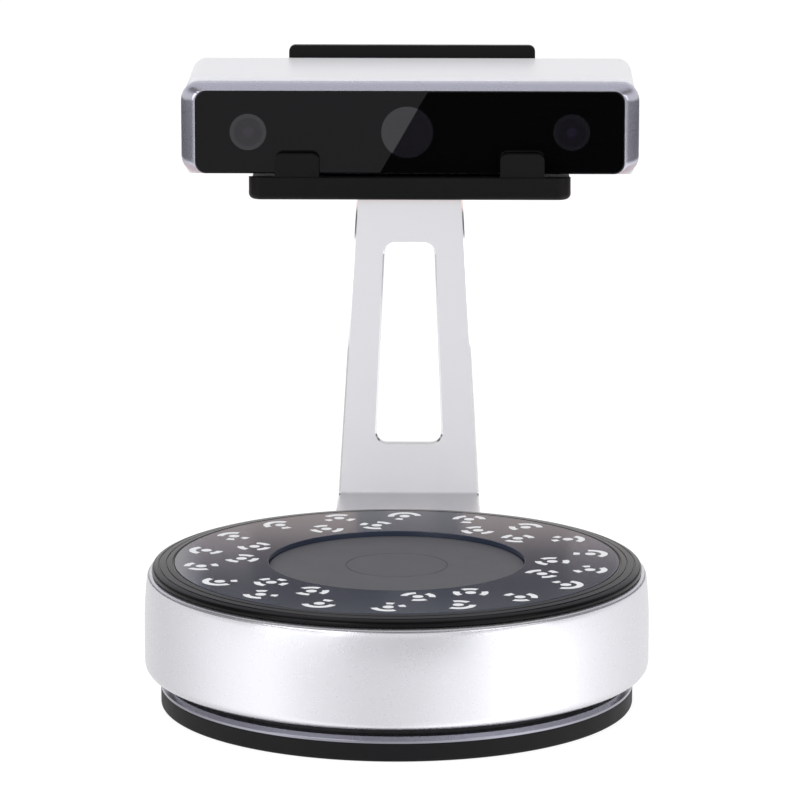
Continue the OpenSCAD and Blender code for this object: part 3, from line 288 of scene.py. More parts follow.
def box_shape(low, high):
    """A box between two corners"""
    bm = bmesh.new()
    size = Vector(high) - Vector(low)
    bmesh.ops.create_cube(bm, size=1)
    bmesh.ops.scale(bm, vec=size, verts=bm.verts[:])
    bmesh.ops.translate(bm, vec=Vector(low) + size / 2, verts=bm.verts[:])
    return bm


def carved(bm, *tools, operation="DIFFERENCE"):
    """Takes other shapes away from bm, or welds them to it, and returns the result"""
    objects = []
    for shape in (bm,) + tools:
        bmesh.ops.recalc_face_normals(shape, faces=shape.faces[:])
        mesh = bpy.data.meshes.new("blank")
        shape.to_mesh(mesh)
        shape.free()
        blank = bpy.data.objects.new("blank", mesh)
        bpy.context.scene.collection.objects.link(blank)
        objects.append(blank)
    for tool in objects[1:]:
        cut = objects[0].modifiers.new("cut", "BOOLEAN")
        cut.operation = operation
        cut.solver = "EXACT"
        cut.object = tool
    result = bmesh.new()
    result.from_object(objects[0], bpy.context.evaluated_depsgraph_get())
    for blank in objects:
        bpy.data.objects.remove(blank)
    bmesh.ops.remove_doubles(result, verts=result.verts[:], dist=2e-6)
    return result


# Moulded rubber: black, matt and slightly grainy.
rubber, rubber_shader = new_finish("moulded_black_rubber", "#0f0f11", 0.55, specular=0.15)
add_grain(rubber, rubber_shader, size=0.5 * MM, depth=0.03 * MM, spread=0.08)

foot_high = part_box("base_foot")[1]
arm_low, arm_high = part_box("arm")
foot_radius = foot_high.x
CHANNEL_GAP = 0.3 * MM
CHANNEL_HEIGHT = 4.1 * MM
channel_low = (arm_low.x - CHANNEL_GAP, arm_low.y - CHANNEL_GAP, -1 * MM)
channel_high = (arm_high.x + CHANNEL_GAP, foot_radius + 5 * MM, CHANNEL_HEIGHT)
foot = turned([(0, 0, 0), (foot_radius, 0, FOOT_EDGE), (foot_radius, foot_high.z, FOOT_EDGE / 3),
               (0, foot_high.z, 0)])
foot = carved(foot, box_shape(channel_low, channel_high))
finish_piece("rubber_foot", foot, [rubber], "turntable_base", ["base_foot"])

# ---------------------------------------------------------------- trim ring and neck
# A polished aluminium ring with a bevelled upper edge lies on the foot. Above it a black neck runs
# back, so that the shroud seems to float.
TRIM_BEVEL = 1.5 * MM

# Polished, grey anodised aluminium: it mirrors the room in thin lines.
polished, polished_shader = new_finish("polished_anodised_aluminium", "#8e8e98", 0.2, metallic=1.0)
add_grain(polished, polished_shader, size=0.4 * MM, depth=0.003 * MM, spread=0.04)

# Textured black ABS: matt, with the fine spark-eroded grain of the mould.
black_abs, black_abs_shader = new_finish("textured_black_abs", "#1a1a1d", 0.5, specular=0.4)
add_grain(black_abs, black_abs_shader, size=0.35 * MM, depth=0.02 * MM, spread=0.06)

trim_low, trim_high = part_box("trim_ring")
neck_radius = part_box("base_tray")[1].x
trim = turned([
    (neck_radius + 0.05 * MM, trim_low.z, 0),
    (trim_high.x, trim_low.z, 0.2 * MM),
    (trim_high.x, trim_high.z - TRIM_BEVEL, 0.15 * MM),
    (trim_high.x - TRIM_BEVEL, trim_high.z, 0.15 * MM),
    (neck_radius + 0.05 * MM, trim_high.z, 0),
])
finish_piece("trim_band", trim, [polished], "turntable_base", ["trim_ring"])

# ---------------------------------------------------------------- shroud
# The silver shroud is a spun shell with a round lower corner. Its shoulder draws in to a thin lip
# round the platter, and its back has the mouth of the socket.
SHROUD_CORNER = 4.2 * MM
SHOULDER_IN = 1.1 * MM
SHOULDER_HEIGHT = 20 * MM
SHOULDER_CORNER = 1.4 * MM
SHROUD_WALL = 2.5 * MM
SHOULDER_STEPS = 10
LIP_UNDER_RIM = 2.6 * MM

# Satin silver lacquer: fine metal flakes give wide soft vertical bands.
silver, silver_shader = new_finish("satin_silver_lacquer", "#d6d6db", 0.27, metallic=0.85)
add_grain(silver, silver_shader, size=0.12 * MM, depth=0.0004 * MM, strength=0.05, spread=0.02)

shroud_low, shroud_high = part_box("shroud")
lip_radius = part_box("platter")[1].x - LIP_UNDER_RIM
shoulder_z = shroud_high.z - SHOULDER_HEIGHT
shoulder = [(shroud_high.x - SHOULDER_IN * (i / SHOULDER_STEPS) ** 2,
             shoulder_z + (SHOULDER_HEIGHT - SHOULDER_CORNER) * i / SHOULDER_STEPS, 0)
            for i in range(SHOULDER_STEPS + 1)]
shroud = turned([
    (neck_radius - 2 * MM, shroud_low.z, 0),
    (shroud_high.x, shroud_low.z, SHROUD_CORNER),
    *shoulder,
    (shoulder[-1][0] - 0.4 * MM, shroud_high.z - 0.4 * SHOULDER_CORNER, 0),
    (shoulder[-1][0] - SHOULDER_CORNER, shroud_high.z, 0),
    (lip_radius, shroud_high.z, 0.2 * MM),
    (lip_radius, shroud_high.z - 2 * MM, 0),
    (shroud_high.x - SHROUD_WALL, shoulder_z, 0),
    (shroud_high.x - SHROUD_WALL, shroud_low.z + SHROUD_CORNER, 0),
    (shroud_high.x - SHROUD_CORNER, shroud_low.z + SHROUD_WALL, 0),
    (neck_radius - 2 * MM, shroud_low.z + SHROUD_WALL, 0),
], steps=240)
socket_low, socket_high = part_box("base_socket")
PORT_WALL = 1.5 * MM
PORT_FLOOR = 5.5 * MM
PORT_CORNER = 1 * MM
port = box_shape((socket_low.x + PORT_WALL, socket_high.y - 1 * MM, socket_low.z + PORT_FLOOR),
                 (socket_high.x - PORT_WALL, socket_high.y + 8 * MM, socket_high.z - PORT_WALL))
bmesh.ops.bevel(port, geom=[e for e in port.edges if abs((e.verts[0].co - e.verts[1].co).y) > 1 * MM],
                offset=PORT_CORNER, segments=4, profile=0.5, material=-1, affect="EDGES")
shroud = carved(shroud, port)
finish_piece("silver_shroud", shroud, [silver], "turntable_base", ["shroud"])

# ---------------------------------------------------------------- platter
# The platter is moulded with a round outer edge and a sloping rim with two fine steps, and holds
# the marker ring and the mat flush in its pockets.
RIM_STEP = 0.25 * MM

# Polished black ABS: a deep black with soft highlights along the rim.
gloss_abs, gloss_abs_shader = new_finish("polished_black_abs", "#08080a", 0.26, specular=0.14)
add_grain(gloss_abs, gloss_abs_shader, size=1.5 * MM, depth=0.004 * MM, spread=0.04)

platter_low, platter_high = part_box("platter")
ring_low, ring_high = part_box("marker_ring")
mat_low, mat_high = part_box("centre_mat")
rim_z = platter_high.z
rim = platter_high.x
pocket = ring_high.x + 0.1 * MM
mat_pocket = mat_high.x + 0.1 * MM
platter = turned([
    (0, platter_low.z, 0),
    (rim - 3.2 * MM, platter_low.z, 0),
    (rim - 3.2 * MM, shroud_high.z + 0.5 * MM, 0),
    (rim, shroud_high.z + 0.5 * MM, 0.3 * MM),
    (rim, rim_z - 1.6 * MM, 1.1 * MM),
    (rim - 2.6 * MM, rim_z - 0.75 * MM, 0.3 * MM),
    (rim - 2.7 * MM, rim_z - 0.75 * MM - RIM_STEP, 0),
    (rim - 3.1 * MM, rim_z - 0.7 * MM - RIM_STEP, 0),
    (rim - 3.2 * MM, rim_z - 0.65 * MM, 0),
    (rim - 5.6 * MM, rim_z - 0.35 * MM, 0),
    (rim - 5.7 * MM, rim_z - 0.35 * MM - RIM_STEP, 0),
    (rim - 6.0 * MM, rim_z - 0.3 * MM - RIM_STEP, 0),
    (rim - 6.1 * MM, rim_z - 0.25 * MM, 0),
    (pocket + 0.8 * MM, rim_z, 0.2 * MM),
    (pocket, rim_z - 0.3 * MM, 0),
    (pocket, ring_low.z, 0),
    (mat_pocket, ring_low.z, 0),
    (mat_pocket, mat_low.z, 0),
    (0, mat_low.z, 0),
], steps=240)
finish_piece("platter_disc", platter, [gloss_abs], "platter", ["platter"])

# ---------------------------------------------------------------- marker ring
# A ring of dark toughened glass, printed from below, with polished edges.
# Dark glass with a cool blue cast: it mirrors the arm, the head and the lamps.
dark_glass, dark_glass_shader = new_finish("printed_dark_glass", "#2e3547", 0.14, specular=0.65)
add_grain(dark_glass, dark_glass_shader, size=4 * MM, depth=0.004 * MM, strength=0.3, spread=0.03)

GLASS_EDGE = 0.25 * MM
marker_glass = turned([
    (mat_high.x + 0.3 * MM, ring_low.z, 0),
    (ring_high.x, ring_low.z, 0),
    (ring_high.x, ring_high.z, GLASS_EDGE),
    (mat_high.x + 0.3 * MM, ring_high.z, GLASS_EDGE),
], steps=240)
finish_piece("marker_glass_ring", marker_glass, [dark_glass], "platter", ["marker_ring"])

# ---------------------------------------------------------------- printed targets
# Round targets lie in two rows on the ring: eighteen outside, and twelve inside in pairs. Each is a
# white dot in a ring that is broken into arcs in its own way, by which the cameras tell them apart.
OUTER_ROW, INNER_ROW = 77.8, 61.6
ROW_STEP = 20
OUTER_START, INNER_START = 8.5, 38.5
DOT_RADIUS = 2.15 * MM
ARC_INNER = 4.3 * MM
ARC_OUTER = 6.9 * MM
PRINT_THICKNESS = 0.03 * MM
ARC_STEP = 9
# Where each arc starts and how far it goes, in degrees from the ring's outward direction
OUTER_CODES = (((-60, 150), (150, 36)), ((-75, 105), (95, 30), (160, 30)), ((-50, 120), (120, 60)),
               ((-65, 60), (35, 75), (170, 40)), ((-80, 180), (145, 30)), ((-50, 95), (100, 28), (200, 40)))
INNER_CODES = (((-30, 55), (75, 60), (180, 70)), ((-45, 70), (90, 40), (170, 35), (240, 40)),
               ((20, 60), (125, 60), (225, 60)), ((-70, 60), (40, 40), (115, 75)))

# White ink: matt against the gloss of the glass.
white_ink, white_ink_shader = new_finish("white_screen_print", "#f8fafd", 0.45)
add_grain(white_ink, white_ink_shader, size=0.3 * MM, depth=0.004 * MM, spread=0.05)


def add_patch(bm, edge_points):
    """A thin raised patch of ink with this outline"""
    face = bm.faces.new([bm.verts.new(point) for point in edge_points])
    grown = bmesh.ops.extrude_face_region(bm, geom=[face])["geom"]
    top = [part for part in grown if isinstance(part, bmesh.types.BMVert)]
    bmesh.ops.translate(bm, vec=(0, 0, PRINT_THICKNESS), verts=top)


def add_target(bm, radius, azimuth, arcs, z):
    """One dot with its arcs, at a radius and an azimuth on the ring"""
    centre = Vector((radius * math.cos(azimuth), radius * math.sin(azimuth), z))

    def rim(distance, angle):
        return centre + distance * Vector((math.cos(azimuth + angle), math.sin(azimuth + angle), 0))

    add_patch(bm, [rim(DOT_RADIUS, 2 * math.pi * i / 24) for i in range(24)])
    for start, length in arcs:
        steps = max(2, round(length / ARC_STEP))
        angles = [math.radians(start + length * i / steps) for i in range(steps + 1)]
        add_patch(bm, [rim(ARC_OUTER, a) for a in angles] + [rim(ARC_INNER, a) for a in reversed(angles)])


targets = bmesh.new()
for i in range(18):
    add_target(targets, OUTER_ROW * MM, math.radians(OUTER_START + ROW_STEP * i),
               OUTER_CODES[i % len(OUTER_CODES)], ring_high.z)
    if i % 3 < 2:
        add_target(targets, INNER_ROW * MM, math.radians(INNER_START + ROW_STEP * i),
                   INNER_CODES[(i * 2) % len(INNER_CODES) if i % 3 else i % len(INNER_CODES)], ring_high.z)
finish_piece("printed_targets", targets, [white_ink], "platter")

# ---------------------------------------------------------------- centre mat
# A disc of fine grey rubber lies two millimetres below the ring, with a faint centring circle.
# Grey silicone rubber: matt, with a fine grain.
grey_rubber, grey_rubber_shader = new_finish("grey_silicone_rubber", "#525257", 0.5, specular=0.4)
add_grain(grey_rubber, grey_rubber_shader, size=0.5 * MM, depth=0.01 * MM, spread=0.05)

CENTRING_RADIUS = 20.3 * MM
GROOVE_WIDTH = 0.5 * MM
GROOVE_DEPTH = 0.2 * MM
mat = turned([
    (0, mat_low.z, 0),
    (mat_high.x, mat_low.z, 0),
    (mat_high.x, mat_high.z, 0.3 * MM),
    (CENTRING_RADIUS, mat_high.z, 0),
    (CENTRING_RADIUS - 0.1 * MM, mat_high.z - GROOVE_DEPTH, 0),
    (CENTRING_RADIUS - GROOVE_WIDTH + 0.1 * MM, mat_high.z - GROOVE_DEPTH, 0),
    (CENTRING_RADIUS - GROOVE_WIDTH, mat_high.z, 0),
    (0, mat_high.z, 0),
], steps=160)
finish_piece("rubber_mat", mat, [grey_rubber], "platter", ["centre_mat"])

# ---------------------------------------------------------------- arm
# One aluminium plate, bent twice: it runs under the turntable, rises with a slight lean and ends
# in a flange under the cradle. All its edges, and those of the slot, have a bright milled chamfer.
PLATE = 3.5 * MM
PAD = 0.6 * MM
LEAN = math.radians(12)
BEND = 1.0 * MM
FACE_TOP = 0.6 * MM
WIDTH_FRONT = 76 * MM
WIDTH_LOW = 64.9 * MM
WIDTH_TOP = 49.3 * MM
FLANGE = 46 * MM
SLOT_LOW, SLOT_HIGH = 27.3 * MM, 117.6 * MM
SLOT_WIDTH_LOW, SLOT_WIDTH_HIGH = 30.4 * MM, 22.8 * MM
SLOT_CORNER = 5 * MM
CHAMFER = 0.75 * MM
BEND_STEPS = 8
PLATE_CORNER = 8 * MM

# Bead-blasted, clear anodised aluminium: an even, bright grey with a fine grain.
blasted, blasted_shader = new_finish("blasted_anodised_aluminium", "#e0e0e4", 0.36, metallic=0.75)
add_grain(blasted, blasted_shader, size=0.3 * MM, depth=0.012 * MM, spread=0.05)

# Diamond-cut edge: the same metal, milled after blasting, so it flashes bright or dark.
cut_edge, cut_edge_shader = new_finish("milled_aluminium_edge", "#fafafc", 0.16, metallic=1.0)
add_grain(cut_edge, cut_edge_shader, size=0.8 * MM, depth=0.003 * MM, spread=0.04)

flange_high = arm_high.z
face_y = arm_high.y - FLANGE
crease_y = face_y - (flange_high - PAD - PLATE) * math.tan(LEAN)
half_turn = (math.pi / 2 - LEAN) / 2
low_centre = Vector((0, crease_y - BEND * math.tan(half_turn), PAD + PLATE + BEND))


def pull(bm, face, move, width):
    """Extrudes the plate's end face along a vector, to a new width, and returns the new end"""
    grown = bmesh.ops.extrude_face_region(bm, geom=[face])["geom"]
    end = next(part for part in grown if isinstance(part, bmesh.types.BMFace))
    bmesh.ops.translate(bm, vec=move, verts=end.verts[:])
    half = max(abs(vert.co.x) for vert in end.verts)
    bmesh.ops.scale(bm, vec=(width / 2 / half, 1, 1), verts=end.verts[:])
    return end


def bend(bm, face, centre, turn):
    """Bends the plate's end face round a line along X and returns the new end"""
    last = bmesh.ops.spin(bm, geom=[face], cent=centre, axis=(1, 0, 0), angle=turn, steps=BEND_STEPS)
    return next(part for part in last["geom_last"] if isinstance(part, bmesh.types.BMFace))


arm = bmesh.new()
end = arm.faces.new([arm.verts.new((x, arm_low.y, z)) for x, z in (
    (-WIDTH_FRONT / 2, PAD), (WIDTH_FRONT / 2, PAD),
    (WIDTH_FRONT / 2, PAD + PLATE), (-WIDTH_FRONT / 2, PAD + PLATE))])
end = pull(arm, end, (0, low_centre.y - arm_low.y, 0), WIDTH_LOW)
end = bend(arm, end, low_centre, 2 * half_turn)
end = pull(arm, end, (0, 10 * MM * math.tan(LEAN), 10 * MM), WIDTH_LOW)
mitre = PLATE * math.tan(half_turn)
for vert in end.verts:
    rear = vert.co.y > crease_y + (vert.co.z - PAD - PLATE) * math.tan(LEAN) + PLATE / 2
    vert.co = (math.copysign(WIDTH_TOP / 2, vert.co.x), face_y + (mitre if rear else 0),
               flange_high - FACE_TOP - (PLATE - FACE_TOP if rear else 0))
end = pull(arm, end, (0, arm_high.y - face_y, 0), WIDTH_TOP)
for vert in end.verts:
    vert.co.y = arm_high.y
front_corners = [e for e in arm.edges if all(abs(v.co.y - arm_low.y) < 1e-5 for v in e.verts)
                 and abs(e.verts[0].co.x - e.verts[1].co.x) < 1e-5]
bmesh.ops.bevel(arm, geom=front_corners, offset=PLATE_CORNER, segments=8, profile=0.5, material=-1,
                affect="EDGES")


def rounded_outline(bm, corners):
    """A flat face through (point, corner radius) pairs"""
    verts = [bm.verts.new(point) for point, _ in corners]
    bm.faces.new(verts)
    for vert, (_, radius) in zip(verts, corners):
        if radius:
            bmesh.ops.bevel(bm, geom=[vert], offset=radius, segments=6, profile=0.5, material=-1,
                            affect="VERTICES", offset_type="OFFSET")
    return bm.faces[:]


def thicken(bm, faces, move):
    """Makes a flat face a plate"""
    grown = bmesh.ops.extrude_face_region(bm, geom=faces)["geom"]
    bmesh.ops.translate(bm, vec=move, verts=[part for part in grown if isinstance(part, bmesh.types.BMVert)])
    return bm


slot = bmesh.new()
slot_y = crease_y - 10 * MM
faces = rounded_outline(slot, [
    ((-SLOT_WIDTH_LOW / 2, slot_y, SLOT_LOW), SLOT_CORNER),
    ((SLOT_WIDTH_LOW / 2, slot_y, SLOT_LOW), SLOT_CORNER),
    ((SLOT_WIDTH_HIGH / 2, slot_y, SLOT_HIGH), SLOT_CORNER),
    ((-SLOT_WIDTH_HIGH / 2, slot_y, SLOT_HIGH), SLOT_CORNER)])
thicken(slot, faces, (0, face_y - slot_y + 20 * MM, 0))
arm = carved(arm, slot)


def sharp_edges(bm, angle=50):
    """The edges where two faces meet at more than an angle in degrees"""
    return [e for e in bm.edges if len(e.link_faces) == 2 and e.calc_face_angle() > math.radians(angle)]


bmesh.ops.dissolve_limit(arm, angle_limit=math.radians(0.5), verts=arm.verts[:], edges=arm.edges[:])
bmesh.ops.bevel(arm, geom=sharp_edges(arm), offset=CHAMFER, segments=1, profile=0.5, material=1,
                affect="EDGES", clamp_overlap=True)
finish_piece("bent_arm", arm, [blasted, cut_edge], "turntable_base", ["arm"], smooth=25)

# ---------------------------------------------------------------- cradle
# A folded and welded steel tray, coated black: a rail and two hooks hold the head in front, and a
# wall with a window for its fan stands behind it.
CRADLE_FLOOR = 3.8 * MM
RAIL = 5.5 * MM
RAIL_HEIGHT = 10.5 * MM
TRAY_CORNER = 6 * MM
TRAY_EDGE = 2.5 * MM
HOOK_WIDTH = 20.5 * MM
HOOK_PITCH = 104.4 * MM
HOOK_HEIGHT = 11.6 * MM
HOOK_CORNER = 3.5 * MM
HOOK_FILLET = 2 * MM
BACK_WIDTH = 117.5 * MM
BACK_THICKNESS = 3.5 * MM
BACK_CORNER = 3 * MM
WINDOW = (44 * MM, 26 * MM)
WINDOW_CORNER = 4 * MM
SOFT_EDGE = 0.5 * MM

# Satin black powder coat: an even black skin with a fine orange-peel that breaks up highlights.
black_coat, black_coat_shader = new_finish("satin_black_powder_coat", "#0b0b0c", 0.4, specular=0.14)
add_grain(black_coat, black_coat_shader, size=0.6 * MM, depth=0.02 * MM, spread=0.06)

cradle_low, cradle_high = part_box("cradle")
pane_low, pane_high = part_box("front_glass")
optics_z = (pane_low.z + pane_high.z) / 2
tray = bmesh.new()
faces = rounded_outline(tray, [((x, y, cradle_low.z), TRAY_CORNER) for x, y in (
    (cradle_low.x, cradle_low.y), (cradle_high.x, cradle_low.y),
    (cradle_high.x, cradle_high.y), (cradle_low.x, cradle_high.y))])
thicken(tray, faces, (0, 0, RAIL_HEIGHT))
bottom = [e for e in tray.edges if all(abs(v.co.z - cradle_low.z) < 1e-6 for v in e.verts)]
bmesh.ops.bevel(tray, geom=bottom, offset=TRAY_EDGE, segments=5, profile=0.5, material=-1, affect="EDGES")
bay = box_shape((cradle_low.x - 5 * MM, cradle_low.y + RAIL, cradle_low.z + CRADLE_FLOOR),
                (cradle_high.x + 5 * MM, cradle_high.y + 5 * MM, cradle_high.z))
tray = carved(tray, bay)

hooks = []
rail_top = cradle_low.z + 9.8 * MM
hook_y = cradle_low.y + 1 * MM
foot = HOOK_WIDTH / 2 + 1.5 * HOOK_FILLET
for side in (-1, 1):
    hook = bmesh.new()
    middle = side * HOOK_PITCH / 2
    low = rail_top - 3 * MM
    faces = rounded_outline(hook, [
        ((middle + x, hook_y, z), corner) for x, z, corner in (
            (-foot, low, 0), (foot, low, 0), (foot, rail_top - 0.3 * MM, 0),
            (HOOK_WIDTH / 2, rail_top, HOOK_FILLET),
            (HOOK_WIDTH / 2, rail_top + HOOK_HEIGHT, HOOK_CORNER),
            (-HOOK_WIDTH / 2, rail_top + HOOK_HEIGHT, HOOK_CORNER),
            (-HOOK_WIDTH / 2, rail_top, HOOK_FILLET), (-foot, rail_top - 0.3 * MM, 0))])
    hooks.append(thicken(hook, faces, (0, RAIL - 1 * MM, 0)))

back_wall = bmesh.new()
back_y = cradle_high.y - BACK_THICKNESS
faces = rounded_outline(back_wall, [
    ((-BACK_WIDTH / 2, back_y, cradle_low.z + 0.5 * MM), 0),
    ((BACK_WIDTH / 2, back_y, cradle_low.z + 0.5 * MM), 0),
    ((BACK_WIDTH / 2, back_y, cradle_high.z), BACK_CORNER),
    ((-BACK_WIDTH / 2, back_y, cradle_high.z), BACK_CORNER)])
thicken(back_wall, faces, (0, BACK_THICKNESS, 0))
window = bmesh.new()
faces = rounded_outline(window, [
    ((x * WINDOW[0] / 2, back_y - 5 * MM, optics_z + z * WINDOW[1] / 2), WINDOW_CORNER)
    for x, z in ((-1, -1), (1, -1), (1, 1), (-1, 1))])
thicken(window, faces, (0, BACK_THICKNESS + 10 * MM, 0))
back_wall = carved(back_wall, window)
cradle = carved(tray, *hooks, back_wall, operation="UNION")
bmesh.ops.dissolve_limit(cradle, angle_limit=math.radians(0.5), verts=cradle.verts[:], edges=cradle.edges[:])
bmesh.ops.bevel(cradle, geom=sharp_edges(cradle), offset=SOFT_EDGE, segments=3, profile=0.5, material=-1,
                affect="EDGES", clamp_overlap=True)
finish_piece("coated_cradle", cradle, [black_coat], "turntable_base", ["cradle"])

# ---------------------------------------------------------------- head shell
# The head's shell is one moulding with round rear corners, open towards the bezel. The mouths of
# the sockets, the button's hole and the fan's slots go through its back, and air slots below.
SHELL_WALL = 2.5 * MM
SHELL_REAR_CORNER = 13 * MM
SHELL_SIDE_EDGE = 6 * MM
SHELL_REAR_EDGE = 2.5 * MM
VENT_WIDTH = 1.8 * MM
VENT_PITCH = 3.3 * MM
VENT_LENGTH = 19 * MM
INTAKE_PITCH = 5 * MM
INTAKE_START = 64 * MM
RAMP = 0.155
RAMP_LENGTH = 11 * MM
SOCKET_GAP = 0.2 * MM
INTAKE_SLOTS = 6
OVERSHOOT = 9 * MM

# White satin lacquer over ABS: clean and even, with a soft sheen along the round edges.
white_lacquer, white_lacquer_shader = new_finish("white_satin_lacquer", "#fbfbff", 0.35, specular=0.35)
white_lacquer_shader.inputs["Coat Weight"].default_value = 0.1
white_lacquer_shader.inputs["Coat Roughness"].default_value = 0.15
add_grain(white_lacquer, white_lacquer_shader, size=0.9 * MM, depth=0.005 * MM, spread=0.03)

head_low, head_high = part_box("head_shell")


def shell_form(wall):
    """The shell's outside, grown inwards by a wall: a plan, a side view and a front view in one"""
    x, y1 = head_high.x - wall, head_high.y - wall
    z0, z1 = head_low.z + wall, head_high.z - wall
    y0 = head_low.y - (5 * MM if wall else 0)
    corner, side, rear = (max(radius - wall, 0.5 * MM)
                          for radius in (SHELL_REAR_CORNER, SHELL_SIDE_EDGE, SHELL_REAR_EDGE))
    plan, front, profile = bmesh.new(), bmesh.new(), bmesh.new()
    faces = rounded_outline(plan, [((-x, y0, z0 - OVERSHOOT), 0), ((x, y0, z0 - OVERSHOOT), 0),
                                   ((x, y1, z0 - OVERSHOOT), corner), ((-x, y1, z0 - OVERSHOOT), corner)])
    thicken(plan, faces, (0, 0, z1 - z0 + 2 * OVERSHOOT))
    faces = rounded_outline(front, [((-x, y0 - OVERSHOOT, z0), side), ((x, y0 - OVERSHOOT, z0), side),
                                    ((x, y0 - OVERSHOOT, z1), side), ((-x, y0 - OVERSHOOT, z1), side)])
    thicken(front, faces, (0, y1 - y0 + 2 * OVERSHOOT, 0))
    faces = rounded_outline(profile, [
        ((-x - OVERSHOOT, y0 - 5 * MM, z0), 0), ((-x - OVERSHOOT, y1, z0), rear),
        ((-x - OVERSHOOT, y1, z1), rear), ((-x - OVERSHOOT, y0 - 5 * MM, z1), 0)])
    thicken(profile, faces, (2 * x + 2 * OVERSHOOT, 0, 0))
    return carved(plan, front, profile, operation="INTERSECT")


shell = carved(shell_form(0), shell_form(SHELL_WALL))

openings = []
wall_y = head_high.y - SHELL_WALL
for socket in ("usb_socket", "power_socket", "link_socket"):
    low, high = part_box(socket)
    openings.append(box_shape((low.x - SOCKET_GAP, wall_y - 2 * MM, low.z - SOCKET_GAP),
                              (high.x + SOCKET_GAP, head_high.y + 2 * MM, high.z + SOCKET_GAP)))
for i in range(-3, 4):
    openings.append(box_shape(
        (i * VENT_PITCH - VENT_WIDTH / 2, wall_y - 2 * MM, optics_z - VENT_LENGTH / 2),
        (i * VENT_PITCH + VENT_WIDTH / 2, head_high.y + 2 * MM, optics_z + VENT_LENGTH / 2)))
for side in (-1, 1):
    for i in range(INTAKE_SLOTS):
        middle = side * (INTAKE_START + i * INTAKE_PITCH)
        openings.append(box_shape((middle - VENT_WIDTH / 2, wall_y - 22 * MM, head_low.z - 2 * MM),
                                  (middle + VENT_WIDTH / 2, wall_y - 7 * MM, head_low.z + 4 * MM)))
button_low, button_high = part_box("power_button")
button_x = (button_low.x + button_high.x) / 2
button_z = (button_low.z + button_high.z) / 2
BUTTON_HOLE = 5.3 * MM
button_place = (button_x, head_high.y, button_z)
hole = bmesh.new()
bmesh.ops.create_cone(hole, cap_ends=True, segments=40, radius1=BUTTON_HOLE, radius2=BUTTON_HOLE,
                      depth=20 * MM,
                      matrix=Matrix.Translation(button_place) @ Matrix.Rotation(math.pi / 2, 4, "X"))
openings.append(hole)
insert_low, insert_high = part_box("tripod_insert")
insert_y = (insert_low.y + insert_high.y) / 2
hole = bmesh.new()
insert_radius = insert_high.x + 0.05 * MM
bmesh.ops.create_cone(hole, cap_ends=True, segments=48, radius1=insert_radius, radius2=insert_radius,
                      depth=10 * MM, matrix=Matrix.Translation((0, insert_y, head_low.z)))
openings.append(hole)
ramp = bmesh.new()
ramp_back = head_low.y + RAMP_LENGTH
ramp_front = head_low.y - 20 * MM
faces = rounded_outline(ramp, [((head_low.x - 5 * MM, y, z), 0) for y, z in (
    (ramp_back, head_low.z), (ramp_back, head_low.z - 5 * MM), (ramp_front, head_low.z - 5 * MM),
    (ramp_front, head_low.z + RAMP * (ramp_back - ramp_front)))])
openings.append(thicken(ramp, faces, (head_high.x - head_low.x + 10 * MM, 0, 0)))
shell = carved(shell, *openings)
finish_piece("white_shell", shell, [white_lacquer], "head", ["head_shell"], smooth=30)

# ---------------------------------------------------------------- bezel
# A frame whose face curves back from the glass to a straight rear edge, lacquered grey.
BEZEL_LIP = 0.5 * MM
SHELL_SHOWS = 0.6 * MM
GLASS_CORNER = 5 * MM
BEZEL_CORNER = 8.5 * MM
BEZEL_SLOPE = 10 * MM
BEZEL_STEPS = 10
BEZEL_ROUND = 2.3
GLASS_DEPTH = 2 * MM

# Silver-grey satin lacquer: the top catches the lamps and the sides darken towards the glass.
grey_lacquer, grey_lacquer_shader = new_finish("silver_grey_satin_lacquer", "#bcbcc8", 0.27, metallic=0.85)
add_grain(grey_lacquer, grey_lacquer_shader, size=0.3 * MM, depth=0.001 * MM, strength=0.05, spread=0.02)

bezel_low, bezel_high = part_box("bezel")
glass_size = pane_high - pane_low


def frame_corners(size, y, z):
    """The four corners of an upright rectangle"""
    return [(sx * size[0] / 2, y, z + sz * size[1] / 2) for sx, sz in ((-1, -1), (1, -1), (1, 1), (-1, 1))]


bezel = bmesh.new()
front_width, rear_width = glass_size.x + 2 * BEZEL_LIP, bezel_high.x - bezel_low.x
front_top, rear_top = pane_high.z + BEZEL_LIP, bezel_high.z - SHELL_SHOWS
sections = [(i / BEZEL_STEPS * BEZEL_SLOPE, 1 - (1 - i / BEZEL_STEPS) ** BEZEL_ROUND)
            for i in range(BEZEL_STEPS + 1)]
sections.append((head_low.y - bezel_low.y, 1))
loops = []
for depth, share in sections:
    before = set(bezel.edges)
    top = front_top * (1 - share) + rear_top * share
    bottom = head_low.z + RAMP * (head_low.y + RAMP_LENGTH - bezel_low.y - depth)
    size = (front_width * (1 - share) + rear_width * share, top - bottom)
    corner = (GLASS_CORNER + BEZEL_LIP) * (1 - share) + BEZEL_CORNER * share
    rounded_outline(bezel, [(point, corner) for point in frame_corners(
        size, bezel_low.y + depth, (top + bottom) / 2)])
    loops.append([e for e in bezel.edges if e not in before])
inner_faces = [f for f in bezel.faces if bezel_low.y + 1e-5 < f.verts[0].co.y < head_low.y - 1e-5]
bmesh.ops.delete(bezel, geom=inner_faces, context="FACES_ONLY")
for front, rear in zip(loops, loops[1:]):
    bmesh.ops.bridge_loops(bezel, edges=front + rear)
recess = bmesh.new()
faces = rounded_outline(recess, [(point, GLASS_CORNER) for point in frame_corners(
    (glass_size.x + 0.2 * MM, glass_size.z + 0.2 * MM), bezel_low.y - 5 * MM, optics_z)])
thicken(recess, faces, (0, 5 * MM + GLASS_DEPTH, 0))
inside = bmesh.new()
faces = rounded_outline(inside, [(point, 3 * MM) for point in frame_corners(
    (glass_size.x - 4 * MM, glass_size.z - 4 * MM), bezel_low.y - 5 * MM, optics_z)])
